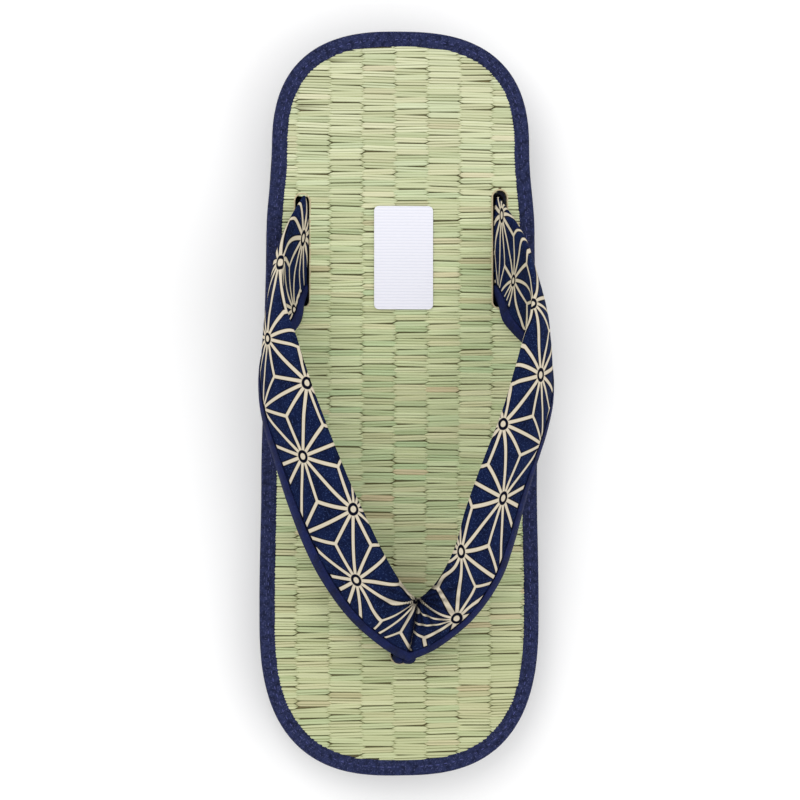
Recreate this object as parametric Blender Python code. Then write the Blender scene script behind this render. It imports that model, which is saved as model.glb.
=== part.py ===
"""Zori sandal: a woven rush mat on a sponge sole, with two padded cloth straps.

Metres, +Z up, the toe towards -Y. The origin is on the floor under the middle of the sole.
"""

import math

import bmesh
import bpy
from mathutils import Vector

CLEARANCE = 0.0003  # between pieces that touch

# Sole outline: straight sides between two rounded ends
SOLE_LENGTH = 0.260
BALL_WIDTH = 0.0985
HEEL_ROUND = 0.042
HEEL_SQUARENESS = 2.6
TOE_ROUND = 0.056
TOE_SQUARENESS = 2.7
END_STEPS = 11
SIDE_STEPS = 12

# Width of the sides. on: share of the length from the heel. wide: share of the ball width.
SIDE_COLUMNS = ("on", "wide")
SIDE_WIDTHS = (
    (0.00, 0.915),
    (0.16, 0.915),
    (0.27, 0.953),
    (0.45, 0.972),
    (0.60, 0.987),
    (0.77, 1.000),
    (1.00, 1.000),
)

# Sole layers, from the floor up
OUTSOLE_THICKNESS = 0.0032
MIDSOLE_THICKNESS = 0.0095
HEEL_LIFT = 0.0060
LIFT_START = -0.036
LIFT_END = 0.030
ARCH_RISE = 0.0020
ARCH_START = -0.008
ARCH_END = 0.046
TOE_SPRING = 0.0040
SPRING_START = -0.092
OUTSOLE_INSET = 0.0004
OUTSOLE_BEVEL = 0.0010
MIDSOLE_INSET = 0.0008
MIDSOLE_WAIST = 0.0008  # how far the sponge wall is drawn in at half height

# Tread: grooves across the outsole
TREAD_DEPTH = 0.0011
TREAD_GROOVE = 0.0022
TREAD_PITCH = 0.0085
TREAD_REACH = 1.2  # length of a groove's cutter, as a share of the ball width
TREAD_ZONES = {"heel": (0.056, 0.112), "forefoot": (-0.100, -0.016)}

# Rush mat: a board with woven columns that run from heel to toe
MAT_THICKNESS = 0.0035
MAT_BOARD = 0.0022
RUSH_PITCH = 0.01137
RUSH_SHIFT = -0.0022  # the valley nearest to the centre line
RUSH_RELIEF = 0.0005
RUSH_STEPS = 4
MAT_STEPS = 22

# Tape bound round the edge of the mat
TAPE_WIDTH = 0.0054
TAPE_WALL = 0.0009
TAPE_PROUD = 0.0003
TAPE_ROUND = 0.0009
TAPE_ROUND_STEPS = 3

# Slots that the straps and the toe post go down through, with the room round each
SLOT_END_ROOM = 0.0015
SLOT_SIDE_ROOM = 0.0009
SLOT_FLOOR_ROOM = 0.0010
SLOT_ARC_STEPS = 6
TOE_SLOT_BACK_ROOM = 0.0015
TOE_SLOT_FRONT_ROOM = 0.0060
TOE_SLOT_SIDE_ROOM = 0.0007

# Straps: the ridge is the upper, inner edge, and the hem is the lower, outer edge with the binding
STRAP_REACH = 0.0496
STRAP_RISE = 0.0390
STRAP_WIDTH = 0.0245
STRAP_THICKNESS = 0.0068
STRAP_TAIL = 0.0100
STRAP_BACK = 0.0725
STRAP_RUN = 0.1620
STRAP_STEPS = 2
HEM_THINNING = 0.45
SECTION_BLUNTNESS = 0.42
BINDING_WIDTH = 0.0036
BINDING_PROUD = 0.00025
BINDING_GAP = 0.0006  # along the hem, where twisted faces meet
JOIN_LEAN = 0.0045  # how far the join stands to the right of the toe slot
SECTION_SHARES = (0.0, 0.03, 0.12, 0.27, 0.46, 0.65, 0.78)  # points across the band
BINDING_SHARES = (0.0, 0.50, 0.88, 1.0)  # points across the binding

# One row a section, from the slot to the seam where the straps meet.
# out: share of the reach. on: share of the run from the back of the slot. up: share of the rise.
# lean: share of the lean of the join. bow: how far the middle stands out, as a share of the width.
# swell: share of the thickness.
STRAP_COLUMNS = (
    "section", "ridge_out", "ridge_on", "ridge_up", "ridge_lean",
    "hem_out", "hem_on", "hem_up", "hem_lean", "bow", "swell",
)
STRAP_ROWS = (
    ("slot", 0.685, 0.000, 0.000, 0.00, 0.685, 0.231, 0.000, 0.00, 0.00, 0.50),
    ("leaving", 0.766, 0.043, 0.141, 0.00, 0.692, 0.243, 0.031, 0.00, 0.06, 0.66),
    ("fan", 0.833, 0.096, 0.333, 0.00, 0.698, 0.256, 0.072, 0.00, 0.12, 0.84),
    ("lean", 0.861, 0.157, 0.544, 0.00, 0.718, 0.275, 0.128, 0.00, 0.16, 0.94),
    ("twist", 0.859, 0.213, 0.710, 0.00, 0.776, 0.299, 0.218, 0.00, 0.18, 1.00),
    ("upright", 0.833, 0.262, 0.831, 0.00, 0.877, 0.333, 0.321, 0.00, 0.16, 1.00),
    ("turn", 0.774, 0.312, 0.910, 0.02, 0.972, 0.377, 0.436, 0.00, 0.12, 1.00),
    ("arch_back", 0.710, 0.373, 0.969, 0.05, 1.000, 0.441, 0.538, 0.00, 0.09, 1.00),
    ("arch_top", 0.629, 0.448, 1.000, 0.10, 0.968, 0.503, 0.610, 0.00, 0.08, 1.00),
    ("arch_front", 0.538, 0.522, 1.000, 0.14, 0.901, 0.571, 0.649, 0.00, 0.07, 0.98),
    ("instep", 0.446, 0.596, 0.959, 0.22, 0.821, 0.651, 0.659, 0.02, 0.06, 0.96),
    ("ball", 0.349, 0.670, 0.879, 0.44, 0.732, 0.738, 0.621, 0.22, 0.06, 0.94),
    ("toes", 0.260, 0.744, 0.769, 0.78, 0.619, 0.821, 0.531, 0.49, 0.06, 0.92),
    ("gather", 0.153, 0.809, 0.641, 0.97, 0.433, 0.904, 0.410, 0.62, 0.06, 0.90),
    ("pinch", 0.060, 0.846, 0.538, 1.00, 0.192, 0.969, 0.300, 0.60, 0.05, 0.86),
    ("seam", 0.000, 0.861, 0.474, 1.00, 0.000, 1.000, 0.200, 0.45, 0.02, 0.74),
)

# Toe post: the gathered end of both straps
POST_WIDTH = 0.0052
POST_LENGTH = 0.0157
POST_SHIFT = 0.0009  # how far its middle is behind the seam's middle
POST_ROUNDNESS = 0.6
POST_STEPS = 16
POST_SINK = 0.0012  # how deep its top is sunk into the join
POST_LEVELS = (-1.0, 0.0, 0.35, 0.7, 1.0)  # -1 is the end of the tail, 0 the mat and 1 the join

# Label on the mat
LABEL_LENGTH = 0.0360
LABEL_WIDTH = 0.0206
LABEL_THICKNESS = 0.0004
LABEL_CORNER = 0.0016
LABEL_CORNER_STEPS = 4
LABEL_PLACE = (0.0007, 0.0510)

COLOURS = {
    "outsole": (0.020, 0.021, 0.030),
    "midsole": (0.022, 0.027, 0.062),
    "rush_mat": (0.560, 0.600, 0.350),
    "edge_tape": (0.022, 0.026, 0.085),
    "hanao": (0.010, 0.018, 0.070),
    "hanao_binding": (0.014, 0.022, 0.140),
    "label": (0.820, 0.820, 0.840),
}
ROUGHNESS = {"outsole": 0.70, "midsole": 0.80, "label": 0.45}
CLOTH_ROUGHNESS = 0.85
SMOOTH_ANGLE = 40  # degrees; a sharper edge is shown as one


def blend(low, high, share):
    """Goes smoothly from low to high as share goes from 0 to 1."""
    share = min(1.0, max(0.0, share))
    return low + (high - low) * (0.5 - 0.5 * math.cos(math.pi * share))


def curve_through(rows, at):
    """Reads a smooth curve through rows of numbers, at a place counted in rows."""
    index = min(len(rows) - 2, int(at))
    t = at - index
    before, start, end, after = (
        rows[min(len(rows) - 1, max(0, index + step))] for step in (-1, 0, 1, 2)
    )
    return [
        0.5 * (2 * b + (c - a) * t + (2 * a - 5 * b + 4 * c - d) * t**2 + (3 * b - a - 3 * c + d) * t**3)
        for a, b, c, d in zip(before, start, end, after)
    ]


def side_width(y):
    """Half the width of the sides at y, as if they ran on past the rounded ends."""
    on = 0.5 - y / SOLE_LENGTH
    rows = [dict(zip(SIDE_COLUMNS, row)) for row in SIDE_WIDTHS]
    for start, end in zip(rows, rows[1:]):
        if on <= end["on"]:
            break
    share = (on - start["on"]) / (end["on"] - start["on"])
    return blend(start["wide"], end["wide"], share) * BALL_WIDTH / 2


def end_point(end, depth, squareness, step):
    """A point of the right half of a rounded end; end is 1 at the heel and -1 at the toe."""
    angle = math.radians(90) * step / END_STEPS
    y = end * (SOLE_LENGTH / 2 - depth * (1 - math.cos(angle) ** (2 / squareness)))
    return side_width(y) * math.sin(angle) ** (2 / squareness), y


def sole_outline():
    """The sole's closed outline as (x, y): down the right side from the heel, then up the left."""
    heel = [end_point(1, HEEL_ROUND, HEEL_SQUARENESS, step) for step in range(END_STEPS)]
    toe = [end_point(-1, TOE_ROUND, TOE_SQUARENESS, step) for step in range(END_STEPS)]
    start = SOLE_LENGTH / 2 - HEEL_ROUND
    run = SOLE_LENGTH - HEEL_ROUND - TOE_ROUND
    sides = [start - run * step / SIDE_STEPS for step in range(SIDE_STEPS + 1)]
    right = heel + [(side_width(y), y) for y in sides] + toe[::-1]
    return right + [(-x, y) for x, y in right[-2:0:-1]]


def sole_ring(inset):
    """The sole's outline drawn in by inset."""
    points = [Vector(point) for point in sole_outline()]
    ring = []
    for index, point in enumerate(points):
        along = (points[(index + 1) % len(points)] - points[index - 1]).normalized()
        ring.append(point + inset * Vector((along.y, -along.x)))
    return ring


def spring(y):
    """How far the toe end is turned up."""
    share = (SPRING_START - y) / (SPRING_START + SOLE_LENGTH / 2)
    return TOE_SPRING * max(0.0, share) ** 2


def underside(y):
    """Height of the outsole's underside: flat at the heel and forefoot, raised at the arch and toe."""
    share = (y - ARCH_START) / (ARCH_END - ARCH_START)
    arch = ARCH_RISE * math.sin(math.pi * min(1.0, max(0.0, share))) ** 2
    return spring(y) + arch


def outsole_top(y):
    return underside(y) + OUTSOLE_THICKNESS


def midsole_bottom(y):
    return outsole_top(y) + CLEARANCE


def midsole_top(y):
    lift = blend(0.0, HEEL_LIFT, (y - LIFT_START) / (LIFT_END - LIFT_START))
    return OUTSOLE_THICKNESS + CLEARANCE + MIDSOLE_THICKNESS + lift + spring(y)


def midsole_middle(y):
    return (midsole_bottom(y) + midsole_top(y)) / 2


def mat_bottom(y):
    return midsole_top(y) + CLEARANCE


def mat_top(y):
    """Height of the crowns of the woven columns, on which everything above is set."""
    return mat_bottom(y) + MAT_THICKNESS


def new_object(name, bm, collection):
    """Makes an object of a bmesh, with its normals facing out."""
    bmesh.ops.recalc_face_normals(bm, faces=bm.faces[:])
    mesh = bpy.data.meshes.new(name)
    bm.to_mesh(mesh)
    bm.free()
    obj = bpy.data.objects.new(name, mesh)
    collection.objects.link(obj)
    return obj


def bridge(bm, rings, closed=False):
    """Joins each ring of vertices to the next one, and the last to the first if closed."""
    pairs = list(zip(rings, rings[1:]))
    if closed:
        pairs.append((rings[-1], rings[0]))
    for low, high in pairs:
        for index in range(len(low)):
            following = (index + 1) % len(low)
            bm.faces.new((low[index], low[following], high[following], high[index]))


def cap_across(bm, ring):
    """Closes a symmetric ring with strips from side to side, so that it may curve along Y."""
    for index in range(len(ring) // 2):
        corners = (ring[index], ring[index + 1], ring[-index - 1], ring[-index])
        bm.faces.new(list(dict.fromkeys(corners)))


def sole_layer(name, levels, collection):
    """A layer with the sole's outline. levels: (inset, height function) from the bottom up."""
    bm = bmesh.new()
    rings = [
        [bm.verts.new((x, y, height(y))) for x, y in sole_ring(inset)] for inset, height in levels
    ]
    bridge(bm, rings)
    cap_across(bm, rings[0])
    cap_across(bm, rings[-1])
    return new_object(name, bm, collection)


def add_boolean(obj, operation, other):
    modifier = obj.modifiers.new(other.name, "BOOLEAN")
    modifier.operation = operation
    modifier.solver = "EXACT"
    modifier.object = other


def tread_cutter(collection):
    """Bars across the sole, one for each groove of the tread."""
    bm = bmesh.new()
    for start, end in TREAD_ZONES.values():
        count = int((end - start) / TREAD_PITCH) + 1
        for index in range(count):
            middle = (start + end - (count - 1) * TREAD_PITCH) / 2 + index * TREAD_PITCH
            bar = bmesh.ops.create_cube(bm, size=1.0)["verts"]
            bmesh.ops.scale(bm, verts=bar, vec=(BALL_WIDTH * TREAD_REACH, TREAD_GROOVE, 2 * TREAD_DEPTH))
            bmesh.ops.translate(bm, verts=bar, vec=(0.0, middle, underside(middle)))
    return new_object("tread_cutter", bm, collection)


def outsole(parts, cutters):
    """Thin rubber sole with a bevelled lower edge and a ribbed tread."""

    def bevel_top(y):
        return underside(y) + OUTSOLE_BEVEL

    levels = (
        (OUTSOLE_INSET + OUTSOLE_BEVEL, underside),
        (OUTSOLE_INSET, bevel_top),
        (OUTSOLE_INSET, outsole_top),
    )
    obj = sole_layer("outsole", levels, parts)
    add_boolean(obj, "DIFFERENCE", tread_cutter(cutters))
    return obj


def slot_cutter(name, centre, back, front, width, collection):
    """An upright slot with round ends, from above the mat down into the sponge."""
    radius = width / 2
    outline = []
    for y, turn in ((back - radius, 0), (front + radius, 180)):
        for step in range(SLOT_ARC_STEPS + 1):
            angle = math.radians(turn + 180 * step / SLOT_ARC_STEPS)
            outline.append((centre + radius * math.cos(angle), y + radius * math.sin(angle)))
    middle = mat_top((back + front) / 2)
    depth = STRAP_TAIL + SLOT_FLOOR_ROOM
    levels = (middle - depth, middle + depth)
    bm = bmesh.new()
    rings = [[bm.verts.new((x, y, z)) for x, y in outline] for z in levels]
    bridge(bm, rings)
    for ring in rings:
        bm.faces.new(ring)
    return new_object(name, bm, collection)


def slot_cutters(collection):
    """The three slots, which go through the mat and into the sponge."""
    foot = strap_stations()[0]
    back = foot["ridge"].y + SLOT_END_ROOM
    front = foot["hem"].y - SLOT_END_ROOM
    width = foot["swell"] * STRAP_THICKNESS + 2 * SLOT_SIDE_ROOM
    toe_back = post_middle() + POST_LENGTH / 2 + TOE_SLOT_BACK_ROOM
    toe_front = post_middle() - POST_LENGTH / 2 - TOE_SLOT_FRONT_ROOM
    toe_width = POST_WIDTH + 2 * TOE_SLOT_SIDE_ROOM
    return [
        slot_cutter("left_slot_cutter", -foot["ridge"].x, back, front, width, collection),
        slot_cutter("right_slot_cutter", foot["ridge"].x, back, front, width, collection),
        slot_cutter("toe_slot_cutter", 0.0, toe_back, toe_front, toe_width, collection),
    ]


def midsole(parts, slots):
    """Sponge sole, thicker at the heel, with its wall drawn in a little at half height."""
    levels = (
        (MIDSOLE_INSET, midsole_bottom),
        (MIDSOLE_INSET + MIDSOLE_WAIST, midsole_middle),
        (MIDSOLE_INSET, midsole_top),
    )
    obj = sole_layer("midsole", levels, parts)
    for slot in slots:
        add_boolean(obj, "DIFFERENCE", slot)
    return obj


def rush_profile():
    """Across the mat, (x, depth below the crown) of the woven columns, each one a low arch."""
    reach = int(BALL_WIDTH / 2 / RUSH_PITCH) + 2
    profile = []
    for index in range(-reach * RUSH_STEPS, reach * RUSH_STEPS + 1):
        share = (index % RUSH_STEPS) / RUSH_STEPS
        x = RUSH_SHIFT + index * RUSH_PITCH / RUSH_STEPS
        profile.append((x, RUSH_RELIEF * (1 - math.sin(math.pi * share)) ** 2))
    return profile


def woven_slab(collection):
    """The woven columns as a slab that reaches past the outline on every side."""
    bm = bmesh.new()
    profile = rush_profile()
    margin = 0.5 + 1 / MAT_STEPS
    rows = []
    for step in range(MAT_STEPS + 1):
        y = SOLE_LENGTH * margin * (1 - 2 * step / MAT_STEPS)
        base = mat_bottom(y) + MAT_BOARD / 2
        upper = [bm.verts.new((x, y, mat_top(y) - depth)) for x, depth in profile]
        lower = [bm.verts.new((x, y, base)) for x, _ in (profile[-1], profile[0])]
        rows.append(upper + lower)
    bridge(bm, rows)
    bm.faces.new(rows[0])
    bm.faces.new(rows[-1])
    return new_object("woven_slab", bm, collection)


def weave_outline(collection):
    """Upright prism with the outline of the woven top, inside the tape."""

    def below(y):
        return 0.0

    def above(y):
        return 2 * mat_top(0.0)

    inset = TAPE_WIDTH + CLEARANCE
    return sole_layer("weave_outline", ((inset, below), (inset, above)), collection)


def rush_mat(parts, cutters, slots):
    """Board with a woven top. Its thin rim lies under the tape."""

    def board_top(y):
        return mat_bottom(y) + MAT_BOARD

    weave = woven_slab(cutters)
    add_boolean(weave, "INTERSECT", weave_outline(cutters))
    inset = TAPE_WALL + CLEARANCE
    obj = sole_layer("rush_mat", ((inset, mat_bottom), (inset, board_top)), parts)
    add_boolean(obj, "UNION", weave)
    for slot in slots:
        add_boolean(obj, "DIFFERENCE", slot)
    return obj


def tape_section():
    """The tape's section as (inset, height above the mat's underside), round the outside first."""
    top = MAT_THICKNESS + TAPE_PROUD
    section = [(0.0, 0.0)]
    for step in range(TAPE_ROUND_STEPS + 1):
        angle = math.radians(90) * step / TAPE_ROUND_STEPS
        section.append((TAPE_ROUND * (1 - math.cos(angle)), top - TAPE_ROUND * (1 - math.sin(angle))))
    section.append((TAPE_WIDTH - TAPE_PROUD, top))
    section.append((TAPE_WIDTH, top - TAPE_PROUD))
    section.append((TAPE_WIDTH, MAT_BOARD + CLEARANCE))
    section.append((TAPE_WALL, MAT_BOARD + CLEARANCE))
    section.append((TAPE_WALL, 0.0))
    return section


def edge_tape(parts):
    """Tape folded over the edge of the mat, all the way round."""
    bm = bmesh.new()
    rings = [
        [bm.verts.new((x, y, mat_bottom(y) + height)) for x, y in sole_ring(inset)]
        for inset, height in tape_section()
    ]
    bridge(bm, rings, closed=True)
    return new_object("edge_tape", bm, parts)


def strap_stations():
    """Sections of the right strap as dictionaries, with heights counted from the mat."""
    columns = STRAP_COLUMNS[1:]
    rows = [row[1:] for row in STRAP_ROWS]
    count = (len(rows) - 1) * STRAP_STEPS
    stations = []
    for step in range(count + 1):
        row = dict(zip(columns, curve_through(rows, step / STRAP_STEPS)))
        for edge in ("ridge", "hem"):
            x = row[f"{edge}_out"] * STRAP_REACH
            y = STRAP_BACK - row[f"{edge}_on"] * STRAP_RUN
            row[edge] = Vector((x, y, row[f"{edge}_up"] * STRAP_RISE))
        stations.append(row)
    tail = dict(stations[0])
    for edge in ("ridge", "hem"):
        tail[edge] = stations[0][edge] - Vector((0.0, 0.0, STRAP_TAIL))
    return [tail] + stations


def strap_directions(stations):
    """The way each section faces along the right strap; the last one faces across the seam."""
    middles = [(row["ridge"] + row["hem"]) / 2 for row in stations]
    after = middles[-2].copy()
    after.x = -after.x
    middles.append(after)
    directions = [Vector((0.0, 0.0, 1.0))]
    for index in range(1, len(stations)):
        directions.append((middles[index + 1] - middles[index - 1]).normalized())
    return directions


def set_on_mat(point):
    """Takes a place whose height is counted from the mat to its real place."""
    return Vector((point.x, point.y, point.z + mat_top(point.y)))


def strap_point(station, along, share, face, proud, side):
    """A point of a strap's surface.

    share runs from the ridge to the hem, face is 1 outside and -1 inside, side is 1 on the right.
    """
    across = station["hem"] - station["ridge"]
    arch = 4 * share * (1 - share)
    half = station["swell"] * STRAP_THICKNESS / 2 * arch**SECTION_BLUNTNESS * (1 - HEM_THINNING * share)
    offset = station["bow"] * STRAP_WIDTH * arch + face * (half + proud)
    point = station["ridge"] + share * across + offset * along.cross(across).normalized()
    leaning = station["ridge_lean"] + share * (station["hem_lean"] - station["ridge_lean"])
    point.x = side * point.x + leaning * JOIN_LEAN
    return set_on_mat(point)


def strap_rings(shares, proud):
    """Rings of the whole strap over a range of shares, from the right slot to the left one."""
    stations = list(zip(strap_stations(), strap_directions(strap_stations())))
    inner = [share for share in reversed(shares) if 0 < share < 1]
    path = [(share, 1) for share in shares] + [(share, -1) for share in inner]
    order = [(1, row) for row in stations] + [(-1, row) for row in reversed(stations[:-1])]
    return [
        [
            strap_point(station, along, share, face, proud if 0 < share < 1 else 0.0, side)
            for share, face in path
        ]
        for side, (station, along) in order
    ]


def swept(name, rings, collection):
    """A closed solid through rings of points."""
    bm = bmesh.new()
    rows = [[bm.verts.new(point) for point in ring] for ring in rings]
    bridge(bm, rows)
    bm.faces.new(rows[0])
    bm.faces.new(rows[-1])
    return new_object(name, bm, collection)


def seam_place(y):
    """Height of the seam's middle surface above the mat at y, and how far it leans there."""
    seam = strap_stations()[-1]
    share = (seam["ridge"].y - y) / (seam["ridge"].y - seam["hem"].y)
    height = seam["ridge"].z + (seam["hem"].z - seam["ridge"].z) * share
    leaning = seam["ridge_lean"] + (seam["hem_lean"] - seam["ridge_lean"]) * share
    return height, leaning * JOIN_LEAN


def post_middle():
    """Where the middle of the toe post is along Y."""
    seam = strap_stations()[-1]
    return (seam["ridge"].y + seam["hem"].y) / 2 + POST_SHIFT


def toe_post(collection):
    """The gathered cloth below the seam, as a flat post that goes down into the toe slot."""
    middle = post_middle()
    outline = []
    for step in range(POST_STEPS):
        angle = 2 * math.pi * step / POST_STEPS
        x = math.copysign(abs(math.cos(angle)) ** POST_ROUNDNESS, math.cos(angle)) * POST_WIDTH / 2
        y = math.copysign(abs(math.sin(angle)) ** POST_ROUNDNESS, math.sin(angle))
        outline.append((x, middle + y * POST_LENGTH / 2))
    rings = []
    for share in POST_LEVELS:
        ring = []
        for x, y in outline:
            height, leaning = seam_place(y)
            reach = height + POST_SINK if share > 0 else STRAP_TAIL
            shift = leaning * max(0.0, share) ** 2
            ring.append(set_on_mat(Vector((x + shift, y, share * reach))))
        rings.append(ring)
    return swept("toe_post", rings, collection)


def hanao(parts, cutters):
    """Both straps as one padded band, joined at the seam, with the toe post below it."""
    split = 1 - BINDING_WIDTH / STRAP_WIDTH
    obj = swept("hanao", strap_rings((*SECTION_SHARES, split), 0.0), parts)
    add_boolean(obj, "UNION", toe_post(cutters))
    return obj


def hanao_binding(parts):
    """Plain cloth bound over the hem of the straps, a little thicker than they are."""
    split = 1 - (BINDING_WIDTH - BINDING_GAP) / STRAP_WIDTH
    shares = [split + (1 - split) * share for share in BINDING_SHARES]
    return swept("hanao_binding", strap_rings(shares, BINDING_PROUD), parts)


def label(parts):
    """Thin plain label with rounded corners, lying on the mat."""
    x, y = LABEL_PLACE
    bm = bmesh.new()
    bmesh.ops.create_cube(bm, size=1.0)
    bmesh.ops.scale(bm, verts=bm.verts[:], vec=(LABEL_WIDTH, LABEL_LENGTH, LABEL_THICKNESS))
    upright = [
        edge for edge in bm.edges
        if abs(edge.verts[0].co.z - edge.verts[1].co.z) > LABEL_THICKNESS / 2
    ]
    bmesh.ops.bevel(
        bm, geom=upright, offset=LABEL_CORNER, segments=LABEL_CORNER_STEPS, profile=0.5, affect="EDGES"
    )
    obj = new_object("label", bm, parts)
    obj.location = (x, y, mat_top(y) + CLEARANCE + LABEL_THICKNESS / 2)
    return obj


def finish(obj):
    """Gives a piece its material and smooth shading."""
    material = bpy.data.materials.new(obj.name)
    material.use_nodes = True
    shader = material.node_tree.nodes["Principled BSDF"]
    shader.inputs["Base Color"].default_value = (*COLOURS[obj.name], 1.0)
    shader.inputs["Roughness"].default_value = ROUGHNESS.get(obj.name, CLOTH_ROUGHNESS)
    shader.inputs["Metallic"].default_value = 0.0
    obj.data.materials.append(material)
    obj.data.shade_smooth()
    obj.data.set_sharp_from_angle(angle=math.radians(SMOOTH_ANGLE))


def main():
    for obj in list(bpy.data.objects):
        bpy.data.objects.remove(obj)
    parts = bpy.data.collections.new("zori_sandal")
    cutters = bpy.data.collections.new("cutters")
    for collection in (parts, cutters):
        bpy.context.scene.collection.children.link(collection)
    slots = slot_cutters(cutters)
    pieces = [
        outsole(parts, cutters),
        midsole(parts, slots),
        rush_mat(parts, cutters, slots),
        edge_tape(parts),
        hanao(parts, cutters),
        hanao_binding(parts),
        label(parts),
    ]
    for piece in pieces:
        finish(piece)
    for cutter in cutters.objects:
        cutter.hide_render = True
        cutter.display_type = "WIRE"


if __name__ == "__main__":
    main()
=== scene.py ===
"""Zori sandal: the looks of a rush mat, its taped edge and its padded cloth straps.

Metres, +Z up, the toe towards -Y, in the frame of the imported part.
"""

import logging
import math
import random
from dataclasses import dataclass, field
from enum import Enum
from typing import Callable, Iterable, Sequence

import bpy
import numpy as np
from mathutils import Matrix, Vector, noise


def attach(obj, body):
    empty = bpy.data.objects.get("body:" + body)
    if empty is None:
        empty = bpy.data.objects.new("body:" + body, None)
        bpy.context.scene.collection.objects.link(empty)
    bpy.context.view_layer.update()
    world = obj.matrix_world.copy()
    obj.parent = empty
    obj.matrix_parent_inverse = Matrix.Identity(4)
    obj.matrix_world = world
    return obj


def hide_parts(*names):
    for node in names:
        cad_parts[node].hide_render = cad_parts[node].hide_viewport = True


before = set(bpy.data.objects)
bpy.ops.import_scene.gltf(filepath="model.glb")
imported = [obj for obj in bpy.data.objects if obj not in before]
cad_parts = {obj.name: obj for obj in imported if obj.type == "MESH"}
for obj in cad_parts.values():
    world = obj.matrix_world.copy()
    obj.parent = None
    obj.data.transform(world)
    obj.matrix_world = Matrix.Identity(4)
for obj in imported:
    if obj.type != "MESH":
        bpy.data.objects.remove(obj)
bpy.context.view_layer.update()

LOG = logging.getLogger("zori")
BODY = "root"
Colour = tuple[float, float, float]


class Layer(Enum):
    """The CAD nodes that this script dresses or replaces."""

    OUTSOLE = "outsole"
    MIDSOLE = "midsole"
    MAT = "rush_mat"
    TAPE = "edge_tape"
    STRAPS = "hanao"
    BINDING = "hanao_binding"
    LABEL = "label"


class Slot(Enum):
    """Names of the material slots."""

    OUTSOLE = "outsole_rubber"
    SPONGE = "sponge"
    RUSH = "rush"
    TAPE = "tape"
    CLOTH = "strap_cloth"
    BINDING = "binding_cloth"
    LABEL = "label"


def smooth_step(low: float, high: float, share: float) -> float:
    """Goes smoothly from low to high as share goes from 0 to 1."""
    share = min(1.0, max(0.0, share))
    return low + (high - low) * (0.5 - 0.5 * math.cos(math.pi * share))


def curve_through(rows: Sequence[Sequence[float]], at: float) -> list[float]:
    """Reads a smooth curve through rows of numbers.

    Args:
        rows: the numbers at each whole place.
        at: the place, counted in rows.

    Returns:
        The numbers at that place.
    """
    index = min(len(rows) - 2, int(at))
    t = at - index
    before, start, end, after = (
        rows[min(len(rows) - 1, max(0, index + step))] for step in (-1, 0, 1, 2)
    )
    return [
        0.5 * (2 * b + (c - a) * t + (2 * a - 5 * b + 4 * c - d) * t**2 + (3 * b - a - 3 * c + d) * t**3)
        for a, b, c, d in zip(before, start, end, after)
    ]


def curve_by_place(table: Sequence[tuple[float, float]], at: float) -> float:
    """Reads a smooth curve through (place, value) pairs, and goes straight on past both ends.

    Args:
        table: the pairs, by rising place.
        at: the place to read.

    Returns:
        The value there.
    """
    places = [place for place, _ in table]
    values = [value for _, value in table]
    slopes = []
    for index in range(len(table)):
        low, high = max(0, index - 1), min(len(table) - 1, index + 1)
        slopes.append((values[high] - values[low]) / (places[high] - places[low]))
    if at <= places[0]:
        return values[0] + slopes[0] * (at - places[0])
    if at >= places[-1]:
        return values[-1] + slopes[-1] * (at - places[-1])
    index = max(number for number, place in enumerate(places[:-1]) if place <= at)
    wide = places[index + 1] - places[index]
    t = (at - places[index]) / wide
    bend = (2 * t**3 - 3 * t**2 + 1) * values[index] + (3 * t**2 - 2 * t**3) * values[index + 1]
    return bend + wide * ((t**3 - 2 * t**2 + t) * slopes[index] + (t**3 - t**2) * slopes[index + 1])


def select_only(obj: bpy.types.Object) -> None:
    """Makes obj the one selected and active object.

    Args:
        obj: the object to select.
    """
    bpy.ops.object.select_all(action="DESELECT")
    obj.select_set(True)
    bpy.context.view_layer.objects.active = obj


def apply_modifiers(obj: bpy.types.Object) -> None:
    """Applies every modifier of obj, from the first down.

    Args:
        obj: the object with the modifiers.
    """
    select_only(obj)
    for modifier in list(obj.modifiers):
        bpy.ops.object.modifier_apply(modifier=modifier.name)


def shade(obj: bpy.types.Object, degrees: float = 40.0) -> None:
    """Shades obj smooth, and leaves edges sharper than that many degrees crisp."""
    select_only(obj)
    bpy.ops.object.shade_smooth_by_angle(angle=math.radians(degrees))


def mesh_object(name: str, points: Sequence[Vector], faces: Sequence[Sequence[int]]) -> bpy.types.Object:
    """Makes an object at the origin of points and faces.

    Args:
        name: the piece's name.
        points: its vertices, in the row frame.
        faces: for each face, the vertices' places in points.

    Returns:
        The linked object.
    """
    mesh = bpy.data.meshes.new(name)
    mesh.from_pydata([tuple(point) for point in points], [], [tuple(face) for face in faces])
    mesh.validate()
    obj = bpy.data.objects.new(name, mesh)
    bpy.context.scene.collection.objects.link(obj)
    return obj


def tube_faces(
    rings: int, around: int, start: int = 0, capped: bool = True, looped: bool = False
) -> list[tuple[int, ...]]:
    """Faces of a tube whose rings of vertices follow each other.

    Args:
        rings: how many rings there are.
        around: how many vertices a ring has.
        start: the first vertex's number.
        capped: whether both ends are closed.
        looped: whether the last ring meets the first.

    Returns:
        The faces, as numbers of vertices.
    """
    faces = []
    for ring in range(rings if looped else rings - 1):
        low, high = start + ring * around, start + (ring + 1) % rings * around
        for step in range(around):
            following = (step + 1) % around
            faces.append((low + step, low + following, high + following, high + step))
    if capped:
        faces.append(tuple(start + step for step in reversed(range(around))))
        faces.append(tuple(start + (rings - 1) * around + step for step in range(around)))
    return faces


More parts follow.
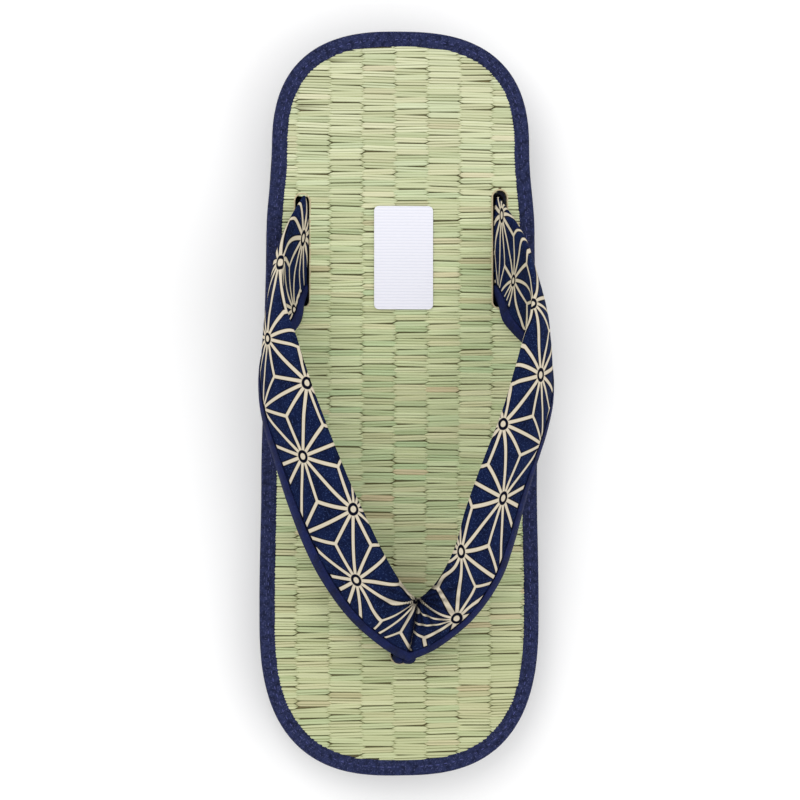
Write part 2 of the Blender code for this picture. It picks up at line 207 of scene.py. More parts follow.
def face_outwards(obj: bpy.types.Object) -> None:
    """Turns every face of a closed mesh outwards.

    Args:
        obj: the object with the mesh.
    """
    select_only(obj)
    bpy.ops.object.mode_set(mode="EDIT")
    bpy.ops.mesh.select_all(action="SELECT")
    bpy.ops.mesh.normals_make_consistent(inside=False)
    bpy.ops.object.mode_set(mode="OBJECT")


def hand_over(obj: bpy.types.Object, slot: Slot, *nodes: Layer) -> None:
    """Fixes a finished piece to the frame and reports it.

    Args:
        obj: the piece, in its place.
        slot: the slot that its finish belongs to; not used.
        nodes: the CAD nodes that it stands for.
    """
    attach(obj, BODY)
    if nodes:
        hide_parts(*(node.value for node in nodes))
    LOG.info("%s: %d faces", obj.name, len(obj.data.polygons))


@dataclass(frozen=True)
class SolePlan:
    """The sole's outline from above and the heights of its layers."""

    length: float = 0.260
    ball_width: float = 0.0985
    heel_round: float = 0.042
    heel_squareness: float = 2.6
    toe_round: float = 0.056
    toe_squareness: float = 2.7
    side_widths: tuple[tuple[float, float], ...] = (
        (0.00, 0.915), (0.16, 0.915), (0.27, 0.953), (0.45, 0.972), (0.60, 0.987), (0.77, 1.0), (1.0, 1.0),
    )
    end_steps: int = 44
    side_steps: int = 60
    mat_base: float = 0.0133
    mat_thickness: float = 0.0035
    heel_lift: float = 0.0060
    lift_start: float = -0.036
    lift_end: float = 0.030
    toe_spring: float = 0.0040
    spring_start: float = -0.092

    def side_width(self, y: float) -> float:
        """Half the width of the sides at y, as if they ran on past the rounded ends.

        Args:
            y: the place along the sole.

        Returns:
            The half width.
        """
        on = 0.5 - y / self.length
        for (start, narrow), (end, wide) in zip(self.side_widths, self.side_widths[1:]):
            if on <= end:
                break
        return smooth_step(narrow, wide, (on - start) / (end - start)) * self.ball_width / 2

    def end_point(self, end: int, depth: float, squareness: float, step: float) -> tuple[float, float]:
        """A point of the right half of a rounded end.

        Args:
            end: 1 at the heel and -1 at the toe.
            depth: how far the rounded end reaches along the sole.
            squareness: 2 is an ellipse, and more is squarer.
            step: 0 on the middle line and end_steps at the side.

        Returns:
            The point (x, y).
        """
        angle = math.radians(90) * step / self.end_steps
        y = end * (self.length / 2 - depth * (1 - math.cos(angle) ** (2 / squareness)))
        return self.side_width(y) * math.sin(angle) ** (2 / squareness), y

    def outline(self, inset: float = 0.0) -> list[Vector]:
        """The closed outline, drawn in by inset: down the right side from the heel, then up the left.

        Args:
            inset: how far inside the sole's edge the line runs.

        Returns:
            The points (x, y) of the line.
        """
        heel = [
            self.end_point(1, self.heel_round, self.heel_squareness, step) for step in range(self.end_steps)
        ]
        toe = [
            self.end_point(-1, self.toe_round, self.toe_squareness, step) for step in range(self.end_steps)
        ]
        start = self.length / 2 - self.heel_round
        run = self.length - self.heel_round - self.toe_round
        sides = [start - run * step / self.side_steps for step in range(self.side_steps + 1)]
        right = heel + [(self.side_width(y), y) for y in sides] + toe[::-1]
        points = [Vector(point) for point in right + [(-x, y) for x, y in right[-2:0:-1]]]
        drawn = []
        for index, point in enumerate(points):
            along = (points[(index + 1) % len(points)] - points[index - 1]).normalized()
            drawn.append(point + inset * Vector((along.y, -along.x)))
        return drawn

    def spring(self, y: float) -> float:
        """How far the toe end is turned up at y."""
        share = (self.spring_start - y) / (self.spring_start + self.length / 2)
        return self.toe_spring * max(0.0, share) ** 2

    def mat_bottom(self, y: float) -> float:
        """Height of the mat's underside at y."""
        lift = smooth_step(0.0, self.heel_lift, (y - self.lift_start) / (self.lift_end - self.lift_start))
        return self.mat_base + lift + self.spring(y)

    def mat_top(self, y: float) -> float:
        """Height of the crowns of the rush at y."""
        return self.mat_bottom(y) + self.mat_thickness


@dataclass(frozen=True)
class Width:
    """Half the width of a closed outline, symmetric about the middle line, read at any y."""

    places: np.ndarray
    halves: np.ndarray

    @classmethod
    def of(cls, outline: Sequence[Vector]) -> "Width":
        """Reads the right half of an outline.

        Args:
            outline: the points (x, y), from the heel down the right side.

        Returns:
            The width, ready to be read.
        """
        half = outline[: len(outline) // 2 + 1]
        places = np.array([point.y for point in half])[::-1]
        return cls(places, np.array([max(0.0, point.x) for point in half])[::-1])

    def at(self, y: float) -> float:
        """Half the width at y, and 0 past both ends.

        Args:
            y: the place along the outline.

        Returns:
            The half width.
        """
        if not self.places[0] <= y <= self.places[-1]:
            return 0.0
        return float(np.interp(y, self.places, self.halves))


@dataclass(frozen=True)
class RoundSlot:
    """An upright slot with round ends, cut through the mat."""

    centre: float
    back: float
    front: float
    width: float

    def half_at(self, y: float) -> float:
        """Half the slot's width at y, and 0 past its ends.

        Args:
            y: the place along the slot.

        Returns:
            The half width.
        """
        radius = self.width / 2
        past = max(0.0, y - (self.back - radius), (self.front + radius) - y)
        return math.sqrt(max(0.0, radius**2 - past**2))

    def outline(self, steps: int = 10) -> list[Vector]:
        """The slot's closed outline, with that many steps round each end.

        Args:
            steps: how many steps go round one end.

        Returns:
            The points (x, y) of the line.
        """
        radius = self.width / 2
        points = []
        for y, turn in ((self.back - radius, 0), (self.front + radius, 180)):
            for step in range(steps + 1):
                angle = math.radians(turn + 180 * step / steps)
                points.append(Vector((self.centre + radius * math.cos(angle), y + radius * math.sin(angle))))
        return points


PLAN = SolePlan()
SLOTS = (
    RoundSlot(centre=-0.0346, back=0.0730, front=0.0335, width=0.0050),
    RoundSlot(centre=0.0346, back=0.0749, front=0.0335, width=0.0050),
    RoundSlot(centre=0.0, back=-0.0680, front=-0.0912, width=0.0066),
)


class NodeKit:
    """Short ways to add and link the nodes of one tree."""

    def __init__(self, tree: bpy.types.NodeTree) -> None:
        """Works on that tree."""
        self.tree = tree

    def add(self, kind: str, *values: object, **settings: object) -> bpy.types.Node:
        """Adds a node.

        Args:
            kind: the node's type, such as ShaderNodeMath.
            values: one for each input from the first: a socket to link, a value to set, or None to skip.
            settings: the node's own settings.

        Returns:
            The node.
        """
        node = self.tree.nodes.new(kind)
        for key, value in settings.items():
            setattr(node, key, value)
        for socket, value in zip(node.inputs, values):
            self.put(socket, value)
        return node

    def put(self, socket: bpy.types.NodeSocket, value: object) -> None:
        """Links or sets one input; None leaves it alone.

        Args:
            socket: the input.
            value: a socket to link, a value to set, or None.
        """
        if isinstance(value, bpy.types.NodeSocket):
            self.tree.links.new(value, socket)
        elif value is not None:
            socket.default_value = value

    def read(self, name: str) -> bpy.types.NodeSocket:
        """A value that the mesh itself carries."""
        node = self.add("ShaderNodeAttribute", attribute_name=name, attribute_type="GEOMETRY")
        return node.outputs["Fac"]

    def object_place(self) -> bpy.types.NodeSocket:
        """The place on the piece, in Object coordinates."""
        return self.add("ShaderNodeTexCoord").outputs["Object"]

    def math(self, operation: str, *values: object) -> bpy.types.NodeSocket:
        """The result of a Math node."""
        return self.add("ShaderNodeMath", *values, operation=operation).outputs[0]

    def vector(self, operation: str, *values: object, out: int = 0) -> bpy.types.NodeSocket:
        """The result of a Vector Math node; out is 1 for a length or a dot product."""
        return self.add("ShaderNodeVectorMath", *values, operation=operation).outputs[out]

    def scaled(self, vector: object, factor: object) -> bpy.types.NodeSocket:
        """A vector times a number.

        Args:
            vector: the vector's socket.
            factor: the number, or its socket.

        Returns:
            The result's socket.
        """
        result = self.vector("SCALE", vector)
        self.put(result.node.inputs["Scale"], factor)
        return result

    def ramp(
        self, value: object, low: float, high: float, start: float = 0.0, end: float = 1.0
    ) -> bpy.types.NodeSocket:
        """Takes value from low..high smoothly to start..end.

        Args:
            value: the socket to read.
            low: where start begins.
            high: where end is reached.
            start: the result at low.
            end: the result at high.

        Returns:
            The result's socket.
        """
        node = self.add("ShaderNodeMapRange", value, low, high, start, end, interpolation_type="SMOOTHSTEP")
        return node.outputs[0]

    def mix(self, share: object, first: object, second: object) -> bpy.types.NodeSocket:
        """Mixes two colours by share.

        Args:
            share: 0 gives the first and 1 the second.
            first: a colour, or its socket.
            second: a colour, or its socket.

        Returns:
            The result's socket.
        """
        node = self.add("ShaderNodeMix", data_type="RGBA")
        self.put(node.inputs[0], share)
        for socket, value in ((node.inputs[6], first), (node.inputs[7], second)):
            self.put(socket, (*value, 1.0) if isinstance(value, tuple) else value)
        return node.outputs[2]

    def noise(
        self, place: object, scale: float, detail: float = 2.0, rough: float = 0.5
    ) -> bpy.types.NodeSocket:
        """A noise value at place, with that many waves a metre."""
        node = self.add("ShaderNodeTexNoise", place, None, scale, detail, rough)
        return node.outputs[0]


def new_group(
    name: str, inputs: dict[str, float | None], outputs: Iterable[str]
) -> tuple[bpy.types.NodeTree, NodeKit]:
    """Starts a shader node group.

    Args:
        name: the group's name.
        inputs: its number inputs with their defaults; None makes a vector.
        outputs: the names of its number outputs.
    """
    tree = bpy.data.node_groups.new(name, "ShaderNodeTree")
    for label, value in inputs.items():
        kind = "NodeSocketVector" if value is None else "NodeSocketFloat"
        socket = tree.interface.new_socket(label, in_out="INPUT", socket_type=kind)
        if value is not None:
            socket.default_value = value
    for label in outputs:
        tree.interface.new_socket(label, in_out="OUTPUT", socket_type="NodeSocketFloat")
    return tree, NodeKit(tree)


def plain_weave_group() -> bpy.types.NodeTree:
    """Threads that cross over and under: puts out their height and a patchy slub.

    Returns:
        The group. Place is in metres, Pitch is the distance between threads.
    """
    inputs = {"Place": None, "Pitch": 0.0005, "Slub": 0.5}
    tree, kit = new_group("plain_weave", inputs, ("Height", "Fleck"))
    source = kit.add("NodeGroupInput")
    sink = kit.add("NodeGroupOutput")
    turns = kit.math("DIVIDE", math.pi, source.outputs["Pitch"])
    wobble = kit.add("ShaderNodeTexNoise", source.outputs["Place"], None, 260.0, 2.0, 0.5)
    drift = (0.0004, 0.0004, 0.0)
    moved = kit.vector("MULTIPLY_ADD", wobble.outputs["Color"], drift, source.outputs["Place"])
    axes = kit.add("ShaderNodeSeparateXYZ", kit.scaled(moved, turns))
    warp = kit.math("ABSOLUTE", kit.math("SINE", axes.outputs[0]))
    weft = kit.math("ABSOLUTE", kit.math("SINE", axes.outputs[1]))
    over = kit.math("MULTIPLY", kit.math("COSINE", axes.outputs[0]), kit.math("COSINE", axes.outputs[1]))
    side = kit.ramp(over, -0.3, 0.3)
    height = kit.math("MULTIPLY", warp, side)
    rest = kit.math("MULTIPLY", weft, kit.math("SUBTRACT", 1.0, side))
    kit.put(sink.inputs["Height"], kit.math("ADD", height, rest))
    long_way = kit.vector("MULTIPLY", source.outputs["Place"], (1000.0, 2900.0, 1.0))
    cross_way = kit.vector("MULTIPLY", source.outputs["Place"], (2900.0, 1000.0, 1.0))
    first = kit.noise(long_way, 1.0, 1.0)
    second = kit.noise(cross_way, 1.0, 1.0)
    fleck = kit.ramp(kit.math("MAXIMUM", first, second), 0.60, 0.76)
    kit.put(sink.inputs["Fleck"], kit.math("MULTIPLY", fleck, source.outputs["Slub"]))
    return tree


def hemp_leaf_group() -> bpy.types.NodeTree:
    """The hemp-leaf lattice: twelve spokes from the middle of each hexagon to its edge.

    Returns:
        The group, which puts out masks of the pale lines and of their dark outline.
    """
    inputs = {
        "Place": None, "Spacing": 0.0268, "Line": 0.00122, "Ring": 0.0023, "Dot": 0.00115, "Edge": 0.0004,
    }
    tree, kit = new_group("hemp_leaf", inputs, ("Line", "Outline"))
    source = kit.add("NodeGroupInput")
    sink = kit.add("NodeGroupOutput")
    spacing = source.outputs["Spacing"]
    rise = kit.math("MULTIPLY", spacing, math.sqrt(3) / 2)
    half = kit.add("ShaderNodeCombineXYZ", kit.math("MULTIPLY", spacing, 0.5), rise, 1.0).outputs[0]
    minus = kit.scaled(half, -1.0)
    first = kit.vector("WRAP", source.outputs["Place"], half, minus)
    moved = kit.vector("ADD", source.outputs["Place"], half)
    second = kit.vector("WRAP", moved, half, minus)
    flat = (1.0, 1.0, 0.0)
    first = kit.vector("MULTIPLY", first, flat)
    second = kit.vector("MULTIPLY", second, flat)
    near = kit.vector("LENGTH", first, out=1)
    far = kit.vector("LENGTH", second, out=1)
    choose = kit.math("LESS_THAN", near, far)
    kept = kit.add("ShaderNodeMix", data_type="VECTOR")
    kit.put(kept.inputs[0], choose)
    kit.put(kept.inputs[4], second)
    kit.put(kept.inputs[5], first)
    local = kit.add("ShaderNodeSeparateXYZ", kept.outputs[1])
    reach = kit.math("MINIMUM", near, far)
    angle = kit.math("ARCTAN2", local.outputs[1], local.outputs[0])
    spoke = math.radians(30)
    off = kit.math("WRAP", angle, spoke / 2, -spoke / 2)
    across = kit.math("MULTIPLY", reach, kit.math("ABSOLUTE", kit.math("SINE", off)))
    width = kit.math("MULTIPLY", source.outputs["Line"], 0.5)
    soft = 0.00012

    def inside(value: bpy.types.NodeSocket, limit: bpy.types.NodeSocket) -> bpy.types.NodeSocket:
        """1 where value is below limit, with a soft edge."""
        return kit.ramp(kit.math("SUBTRACT", limit, value), -soft, soft)

    spokes = inside(across, width)
    ring = inside(reach, source.outputs["Ring"])
    dot = inside(reach, source.outputs["Dot"])
    line = kit.math("MAXIMUM", kit.math("MULTIPLY", spokes, kit.math("SUBTRACT", 1.0, ring)), dot)
    kit.put(sink.inputs["Line"], line)
    halo = inside(across, kit.math("ADD", width, source.outputs["Edge"]))
    kit.put(sink.inputs["Outline"], kit.math("MAXIMUM", halo, ring))
    return tree


@dataclass
class Effects:
    """The node groups that several finishes share."""

    weave: bpy.types.NodeTree
    leaf: bpy.types.NodeTree

    @classmethod
    def build(cls) -> "Effects":
        """Builds each group once."""
        return cls(weave=plain_weave_group(), leaf=hemp_leaf_group())

    def woven(self, kit: NodeKit, pitch: float) -> tuple[bpy.types.NodeSocket, bpy.types.Node]:
        """Places the weave on a piece's own UV map, which is in metres.

        Args:
            pitch: the distance between threads.

        Returns:
            The place's socket and the weave's node.
        """
        place = kit.add("ShaderNodeUVMap", uv_map="cloth").outputs[0]
        weave = kit.add("ShaderNodeGroup", node_tree=self.weave)
        for name, value in (("Place", place), ("Pitch", pitch), ("Slub", 1.0)):
            kit.put(weave.inputs[name], value)
        return place, weave


@dataclass(frozen=True)
class Finish:
    """A material with a name and the gloss that is the same all over it."""

    name: str
    colour: Colour
    roughness: float = 0.8
    sheen: float = 0.0
    specular: float = 0.5

    def start(self) -> tuple[bpy.types.Material, NodeKit, bpy.types.Node]:
        """Makes the material with its plain values.
        """
        material = bpy.data.materials.new(self.name)
        material.use_nodes = True
        kit = NodeKit(material.node_tree)
        shader = material.node_tree.nodes["Principled BSDF"]
        shader.inputs["Base Color"].default_value = (*self.colour, 1.0)
        shader.inputs["Roughness"].default_value = self.roughness
        shader.inputs["Sheen Weight"].default_value = self.sheen
        shader.inputs["Sheen Roughness"].default_value = 0.4
        shader.inputs["Specular IOR Level"].default_value = self.specular
        material.diffuse_color = (*self.colour, 1.0)
        return material, kit, shader

    def bump(
        self, kit: NodeKit, shader: bpy.types.Node, height: object, depth: float, strength: float = 1.0
    ) -> None:
        """Raises the surface by height, which goes from 0 to 1, times depth in metres.

        Args:
            shader: the shader whose normal is changed.
            height: the height's socket.
            depth: how much a height of 1 raises.
            strength: how strongly it shows.
        """
        node = kit.add("ShaderNodeBump")
        node.inputs["Strength"].default_value = strength
        node.inputs["Distance"].default_value = depth
        kit.put(node.inputs["Height"], height)
        kit.put(shader.inputs["Normal"], node.outputs[0])


@dataclass(frozen=True)
class StrapCloth(Finish):
    """Indigo slub cotton with the hemp-leaf lattice left pale."""

    fleck: Colour = (0.046, 0.078, 0.20)
    line: Colour = (0.66, 0.59, 0.46)
    line_slub_and_valley_shade: Colour = (0.48, 0.38, 0.28)
    dark: Colour = (0.0012, 0.0016, 0.007)
    # fold: the colour of the painted shade in the folds, along the seam and at the crotch.
    fold: Colour = (0.001, 0.001, 0.004)
    pitch: float = 0.00055

    def build(self, effects: Effects) -> bpy.types.Material:
        """Makes the cloth's material, which reads the strap's own UV map in metres.

        Args:
            effects: the shared node groups.

        Returns:
            The material.
        """
        material, kit, shader = self.start()
        place, weave = effects.woven(kit, self.pitch)
        leaf = kit.add("ShaderNodeGroup", node_tree=effects.leaf)
        kit.put(leaf.inputs["Place"], place)
        cloudy = kit.noise(place, 130.0, 3.0, 0.6)
        ground = kit.mix(kit.ramp(cloudy, 0.30, 0.65, 0.45, 1.0), self.dark, self.colour)
        ground = kit.mix(kit.math("MULTIPLY", weave.outputs["Fleck"], 0.8), ground, self.fleck)
        ground = kit.mix(kit.math("MULTIPLY", leaf.outputs["Outline"], 0.92), ground, self.dark)
        # Painted shade in the weave's valleys on the pale lines, and a darker tone where the slub is.
        pale = kit.mix(kit.ramp(weave.outputs["Height"], 0.1, 0.7, 0.35, 0.0), self.line, self.line_slub_and_valley_shade)
        pale = kit.mix(kit.math("MULTIPLY", weave.outputs["Fleck"], 0.35), pale, self.line_slub_and_valley_shade)
        printed = kit.math("MULTIPLY", leaf.outputs["Line"], kit.ramp(kit.read("plain"), 0.2, 0.8, 1.0, 0.0))
        colour = kit.mix(printed, ground, pale)
        # Painted shade in the pleats' troughs, along the seam and at the crotch, from the mesh's pleat
        # values.
        colour = kit.mix(kit.ramp(kit.read("pleat"), 0.0, 1.0, 0.0, 0.85), colour, self.fold)
        kit.put(shader.inputs["Base Color"], colour)
        kit.put(shader.inputs["Roughness"], kit.ramp(weave.outputs["Height"], 0.0, 1.0, 0.95, 0.8))
        self.bump(kit, shader, weave.outputs["Height"], 0.00012, 0.6)
        return material


@dataclass(frozen=True)
class BandCloth(Finish):
    """Plain dyed cloth, for the binding and the edge tape."""

    # shade: a darker tone for the cloth's random mottling, and the colour of the painted shade in its weave's
    # valleys.
    shade: Colour = (0.01, 0.01, 0.04)
    fleck: Colour = (0.05, 0.06, 0.20)
    pitch: float = 0.0005
    uneven: float = 70.0

    def build(self, effects: Effects) -> bpy.types.Material:
        """Makes the cloth's material, which reads the band's own UV map in metres.

        Args:
            effects: the shared node groups.

        Returns:
            The material.
        """
        material, kit, shader = self.start()
        place, weave = effects.woven(kit, self.pitch)
        cloudy = kit.noise(place, self.uneven, 3.0)
        colour = kit.mix(kit.ramp(cloudy, 0.3, 0.75), self.colour, self.shade)
        colour = kit.mix(kit.math("MULTIPLY", weave.outputs["Fleck"], 0.6), colour, self.fleck)
        # Painted shade in the weave's valleys.
        deep = kit.ramp(weave.outputs["Height"], 0.0, 0.5, 0.6, 0.0)
        colour = kit.mix(deep, colour, self.shade)
        kit.put(shader.inputs["Base Color"], colour)
        kit.put(shader.inputs["Roughness"], kit.ramp(cloudy, 0.2, 0.8, self.roughness, self.roughness - 0.1))
        self.bump(kit, shader, weave.outputs["Height"], 0.00012, 0.6)
        return material


@dataclass(frozen=True)
class RushFinish(Finish):
    """Dried rush: each strand has its own tint, with fine lines along it and painted shade at its ends and
    between its rushes; painted light makes the heel end paler and painted shade makes the toe end darker.
    """

    green: Colour = (0.44, 0.60, 0.33)
    straw: Colour = (0.72, 0.66, 0.42)
    tan: Colour = (0.64, 0.47, 0.30)
    # The next two colours are painted light towards the heel end and painted shade towards the toe end.
    heel_painted_light: Colour = (0.76, 0.75, 0.56)
    toe_painted_shade: Colour = (0.46, 0.43, 0.25)
    deep: Colour = (0.40, 0.43, 0.22)
    shadow: Colour = (0.13, 0.13, 0.04)

    def build(self) -> bpy.types.Material:
        """Makes the rush's material, which reads each strand's tint, hue and end from its mesh.

        Returns:
            The material.
        """
        material, kit, shader = self.start()
        place = kit.add("ShaderNodeUVMap", uv_map="rush").outputs[0]
        hue, tint, end, gap = (kit.read(name) for name in ("hue", "tint", "end", "gap"))
        stretched = kit.vector("MULTIPLY", place, (90.0, 5200.0, 1.0))
        lines = kit.noise(stretched, 1.0, 2.0)
        slow = kit.noise(kit.vector("MULTIPLY", place, (60.0, 900.0, 1.0)), 1.0, 2.0)
        patch = kit.noise(kit.vector("MULTIPLY", place, (28.0, 60.0, 1.0)), 1.0, 1.0)
        along = kit.add("ShaderNodeSeparateXYZ", kit.object_place()).outputs[1]
        colour = kit.mix(kit.ramp(hue, 0.60, 1.0, 0.0, 0.75), self.colour, self.green)
        colour = kit.mix(kit.ramp(hue, 0.04, 0.35, 0.6, 0.0), colour, self.straw)
        colour = kit.mix(kit.ramp(hue, 0.0, 0.06, 0.8, 0.0), colour, self.tan)
        colour = kit.mix(kit.ramp(patch, 0.50, 0.75, 0.0, 0.30), colour, self.green)
        colour = kit.mix(kit.ramp(slow, 0.60, 0.85, 0.0, 0.35), colour, self.straw)
        # Painted light: paler towards the heel end. Painted shade: darker towards the toe end.
        colour = kit.mix(kit.ramp(along, 0.02, 0.11, 0.0, 0.55), colour, self.heel_painted_light)
        colour = kit.mix(kit.ramp(along, -0.10, -0.02, 0.40, 0.0), colour, self.toe_painted_shade)
        colour = kit.mix(kit.ramp(tint, 0.0, 1.0, 0.45, 0.0), colour, self.deep)
        colour = kit.mix(kit.ramp(lines, 0.35, 0.75, 0.25, 0.0), colour, self.deep)
        # Painted shade in the gaps between the rushes, on the strands' sides and at their ends, where they
        # pass under their neighbours.
        colour = kit.mix(kit.ramp(gap, 0.22, 1.0, 0.0, 0.85), colour, self.shadow)
        colour = kit.mix(kit.math("MULTIPLY", end, 0.8), colour, self.shadow)
        kit.put(shader.inputs["Base Color"], colour)
        kit.put(shader.inputs["Roughness"], kit.ramp(lines, 0.2, 0.8, 0.62, 0.48))
        self.bump(kit, shader, lines, 0.00010, 0.7)
        return material


@dataclass(frozen=True)
class FoamFinish(Finish):
    """Foamed sponge or moulded rubber, with pores, a mould's grain and patches of dust."""

    pore: float = 0.0009
    depth: float = 0.00012
    dusty: Colour = (0.034, 0.036, 0.055)

    def build(self) -> bpy.types.Material:
        """Makes the foam's material from Object coordinates.

        Returns:
            The material.
        """
        material, kit, shader = self.start()
        place = kit.object_place()
        cells = kit.add("ShaderNodeTexVoronoi", place, None, 1.0 / self.pore, feature="F1")
        pores = kit.ramp(cells.outputs["Distance"], 0.1, 0.45)
        fine = kit.noise(place, 2600.0, 2.0)
        cloudy = kit.noise(place, 55.0, 3.0)
        colour = kit.mix(kit.ramp(cloudy, 0.4, 0.75, 0.0, 0.35), self.colour, self.dusty)
        colour = kit.mix(kit.ramp(fine, 0.5, 0.8, 0.0, 0.25), colour, self.dusty)
        kit.put(shader.inputs["Base Color"], colour)
        kit.put(shader.inputs["Roughness"], kit.ramp(cloudy, 0.3, 0.8, self.roughness, self.roughness - 0.12))
        height = kit.math("ADD", kit.math("MULTIPLY", pores, 0.7), kit.math("MULTIPLY", fine, 0.3))
        self.bump(kit, shader, height, self.depth, 0.7)
        return material


@dataclass(frozen=True)
class ThreadFinish(Finish):
    """Twisted sewing thread, with painted shade between its plies."""

    twist: float = 2200.0
    between: Colour = (0.002, 0.002, 0.006)

    def build(self) -> bpy.types.Material:
        """Makes the thread's material from Object coordinates.

        Returns:
            The material.
        """
        material, kit, shader = self.start()
        axes = kit.add("ShaderNodeSeparateXYZ", kit.object_place())
        slant = kit.math("ADD", axes.outputs[0], kit.math("ADD", axes.outputs[1], axes.outputs[2]))
        plies = kit.math("ABSOLUTE", kit.math("SINE", kit.math("MULTIPLY", slant, self.twist * math.pi)))
        # Painted shade between the plies.
        colour = kit.mix(kit.ramp(plies, 0.0, 0.5, 0.6, 0.0), self.colour, self.between)
        kit.put(shader.inputs["Base Color"], colour)
        self.bump(kit, shader, plies, 0.0001, 0.6)
        return material


@dataclass(frozen=True)
class LabelFinish(Finish):
    """White ribbed label film, bare of any print, with painted shade in the grooves between its ribs."""

    rib: float = 0.00105
    groove: Colour = (0.56, 0.58, 0.70)
    dust: Colour = (0.66, 0.66, 0.72)

    def build(self) -> bpy.types.Material:
        """Makes the label's material from Object coordinates.

        Returns:
            The material.
        """
        material, kit, shader = self.start()
        place = kit.object_place()
        axes = kit.add("ShaderNodeSeparateXYZ", place)
        wave = kit.math("SINE", kit.math("MULTIPLY", axes.outputs[1], 2 * math.pi / self.rib))
        ribs = kit.ramp(wave, -0.2, 0.9)
        fine = kit.noise(place, 900.0, 2.0)
        # Painted shade in the grooves between the ribs.
        colour = kit.mix(kit.math("MULTIPLY", ribs, 0.28), self.colour, self.groove)
        colour = kit.mix(kit.ramp(fine, 0.5, 0.8, 0.0, 0.10), colour, self.dust)
        kit.put(shader.inputs["Base Color"], colour)
        kit.put(shader.inputs["Roughness"], kit.ramp(fine, 0.3, 0.8, self.roughness, self.roughness + 0.12))
        height = kit.math("ADD", kit.math("MULTIPLY", ribs, -1.0), kit.math("MULTIPLY", fine, 0.4))
        self.bump(kit, shader, height, 0.00008, 0.5)
        return material


@dataclass
class Studio:
    """Camera, floor and soft lights for the sandal seen from above."""

    eye: tuple[float, float, float] = (-0.0683, 0.0014, 0.8168)
    target: tuple[float, float, float] = (0.0000, 0.0014, 0.0168)
    frame_width: float = 0.2811
    floor_size: float = 14.0
    floor_colour: Colour = (0.97, 0.97, 0.97)
    world_light: float = 0.9
    lights: tuple[tuple[str, tuple[float, float, float], float, float], ...] = (
        ("key", (-0.5, 0.55, 1.1), 0.9, 5.0), ("fill", (0.9, -0.4, 0.9), 1.2, 3.0),
    )

    def build(self) -> None:
        """Makes the camera, the floor, the lights and the world."""
        self.place_camera()
        self.lay_floor()
        for name, place, size, power in self.lights:
            self.hang_light(name, place, size, power)
        self.set_world()

    def place_camera(self) -> None:
        """Looks down at the sandal from the photo's place, upright in the frame."""
        data = bpy.data.cameras.new("camera")
        camera = bpy.data.objects.new("camera", data)
        bpy.context.scene.collection.objects.link(camera)
        eye, target = Vector(self.eye), Vector(self.target)
        backwards = (eye - target).normalized()
        right = Vector((0.0, 1.0, 0.0)).cross(backwards).normalized()
        up = backwards.cross(right)
        camera.matrix_world = (
            (right.x, right.y, right.z, 0.0), (up.x, up.y, up.z, 0.0),
            (backwards.x, backwards.y, backwards.z, 0.0), (eye.x, eye.y, eye.z, 1.0),
        )
        data.sensor_fit = "AUTO"
        data.angle = 2 * math.atan(self.frame_width / 2 / (eye - target).length)
        data.clip_start = 0.01
        bpy.context.scene.camera = camera

    def lay_floor(self) -> None:
        """Lays a plain pale floor."""
        bpy.ops.mesh.primitive_plane_add(size=self.floor_size, location=(0.0, 0.0, 0.0))
        floor = bpy.context.object
        floor.name = "floor"
        material, _, _ = Finish("floor", self.floor_colour, roughness=0.9, specular=0.2).start()
        floor.data.materials.append(material)

    def hang_light(self, name: str, place: tuple[float, float, float], size: float, power: float) -> None:
        """Hangs a square light that faces the sandal.

        Args:
            name: the light's name.
            place: where it hangs.
            size: the length of its side.
            power: its power in watts.
        """
        data = bpy.data.lights.new(name, "AREA")
        data.size = size
        data.energy = power
        light = bpy.data.objects.new(name, data)
        bpy.context.scene.collection.objects.link(light)
        light.location = place
        light.rotation_euler = Vector(place).to_track_quat("Z", "Y").to_euler()

    def set_world(self) -> None:
        """Surrounds the scene with even white light."""
        world = bpy.data.worlds.new("world")
        world.use_nodes = True
        background = world.node_tree.nodes["Background"]
        background.inputs["Color"].default_value = (1.0, 1.0, 1.0, 1.0)
        background.inputs["Strength"].default_value = self.world_light
        bpy.context.scene.world = world
        bpy.context.scene.view_settings.view_transform = "Standard"


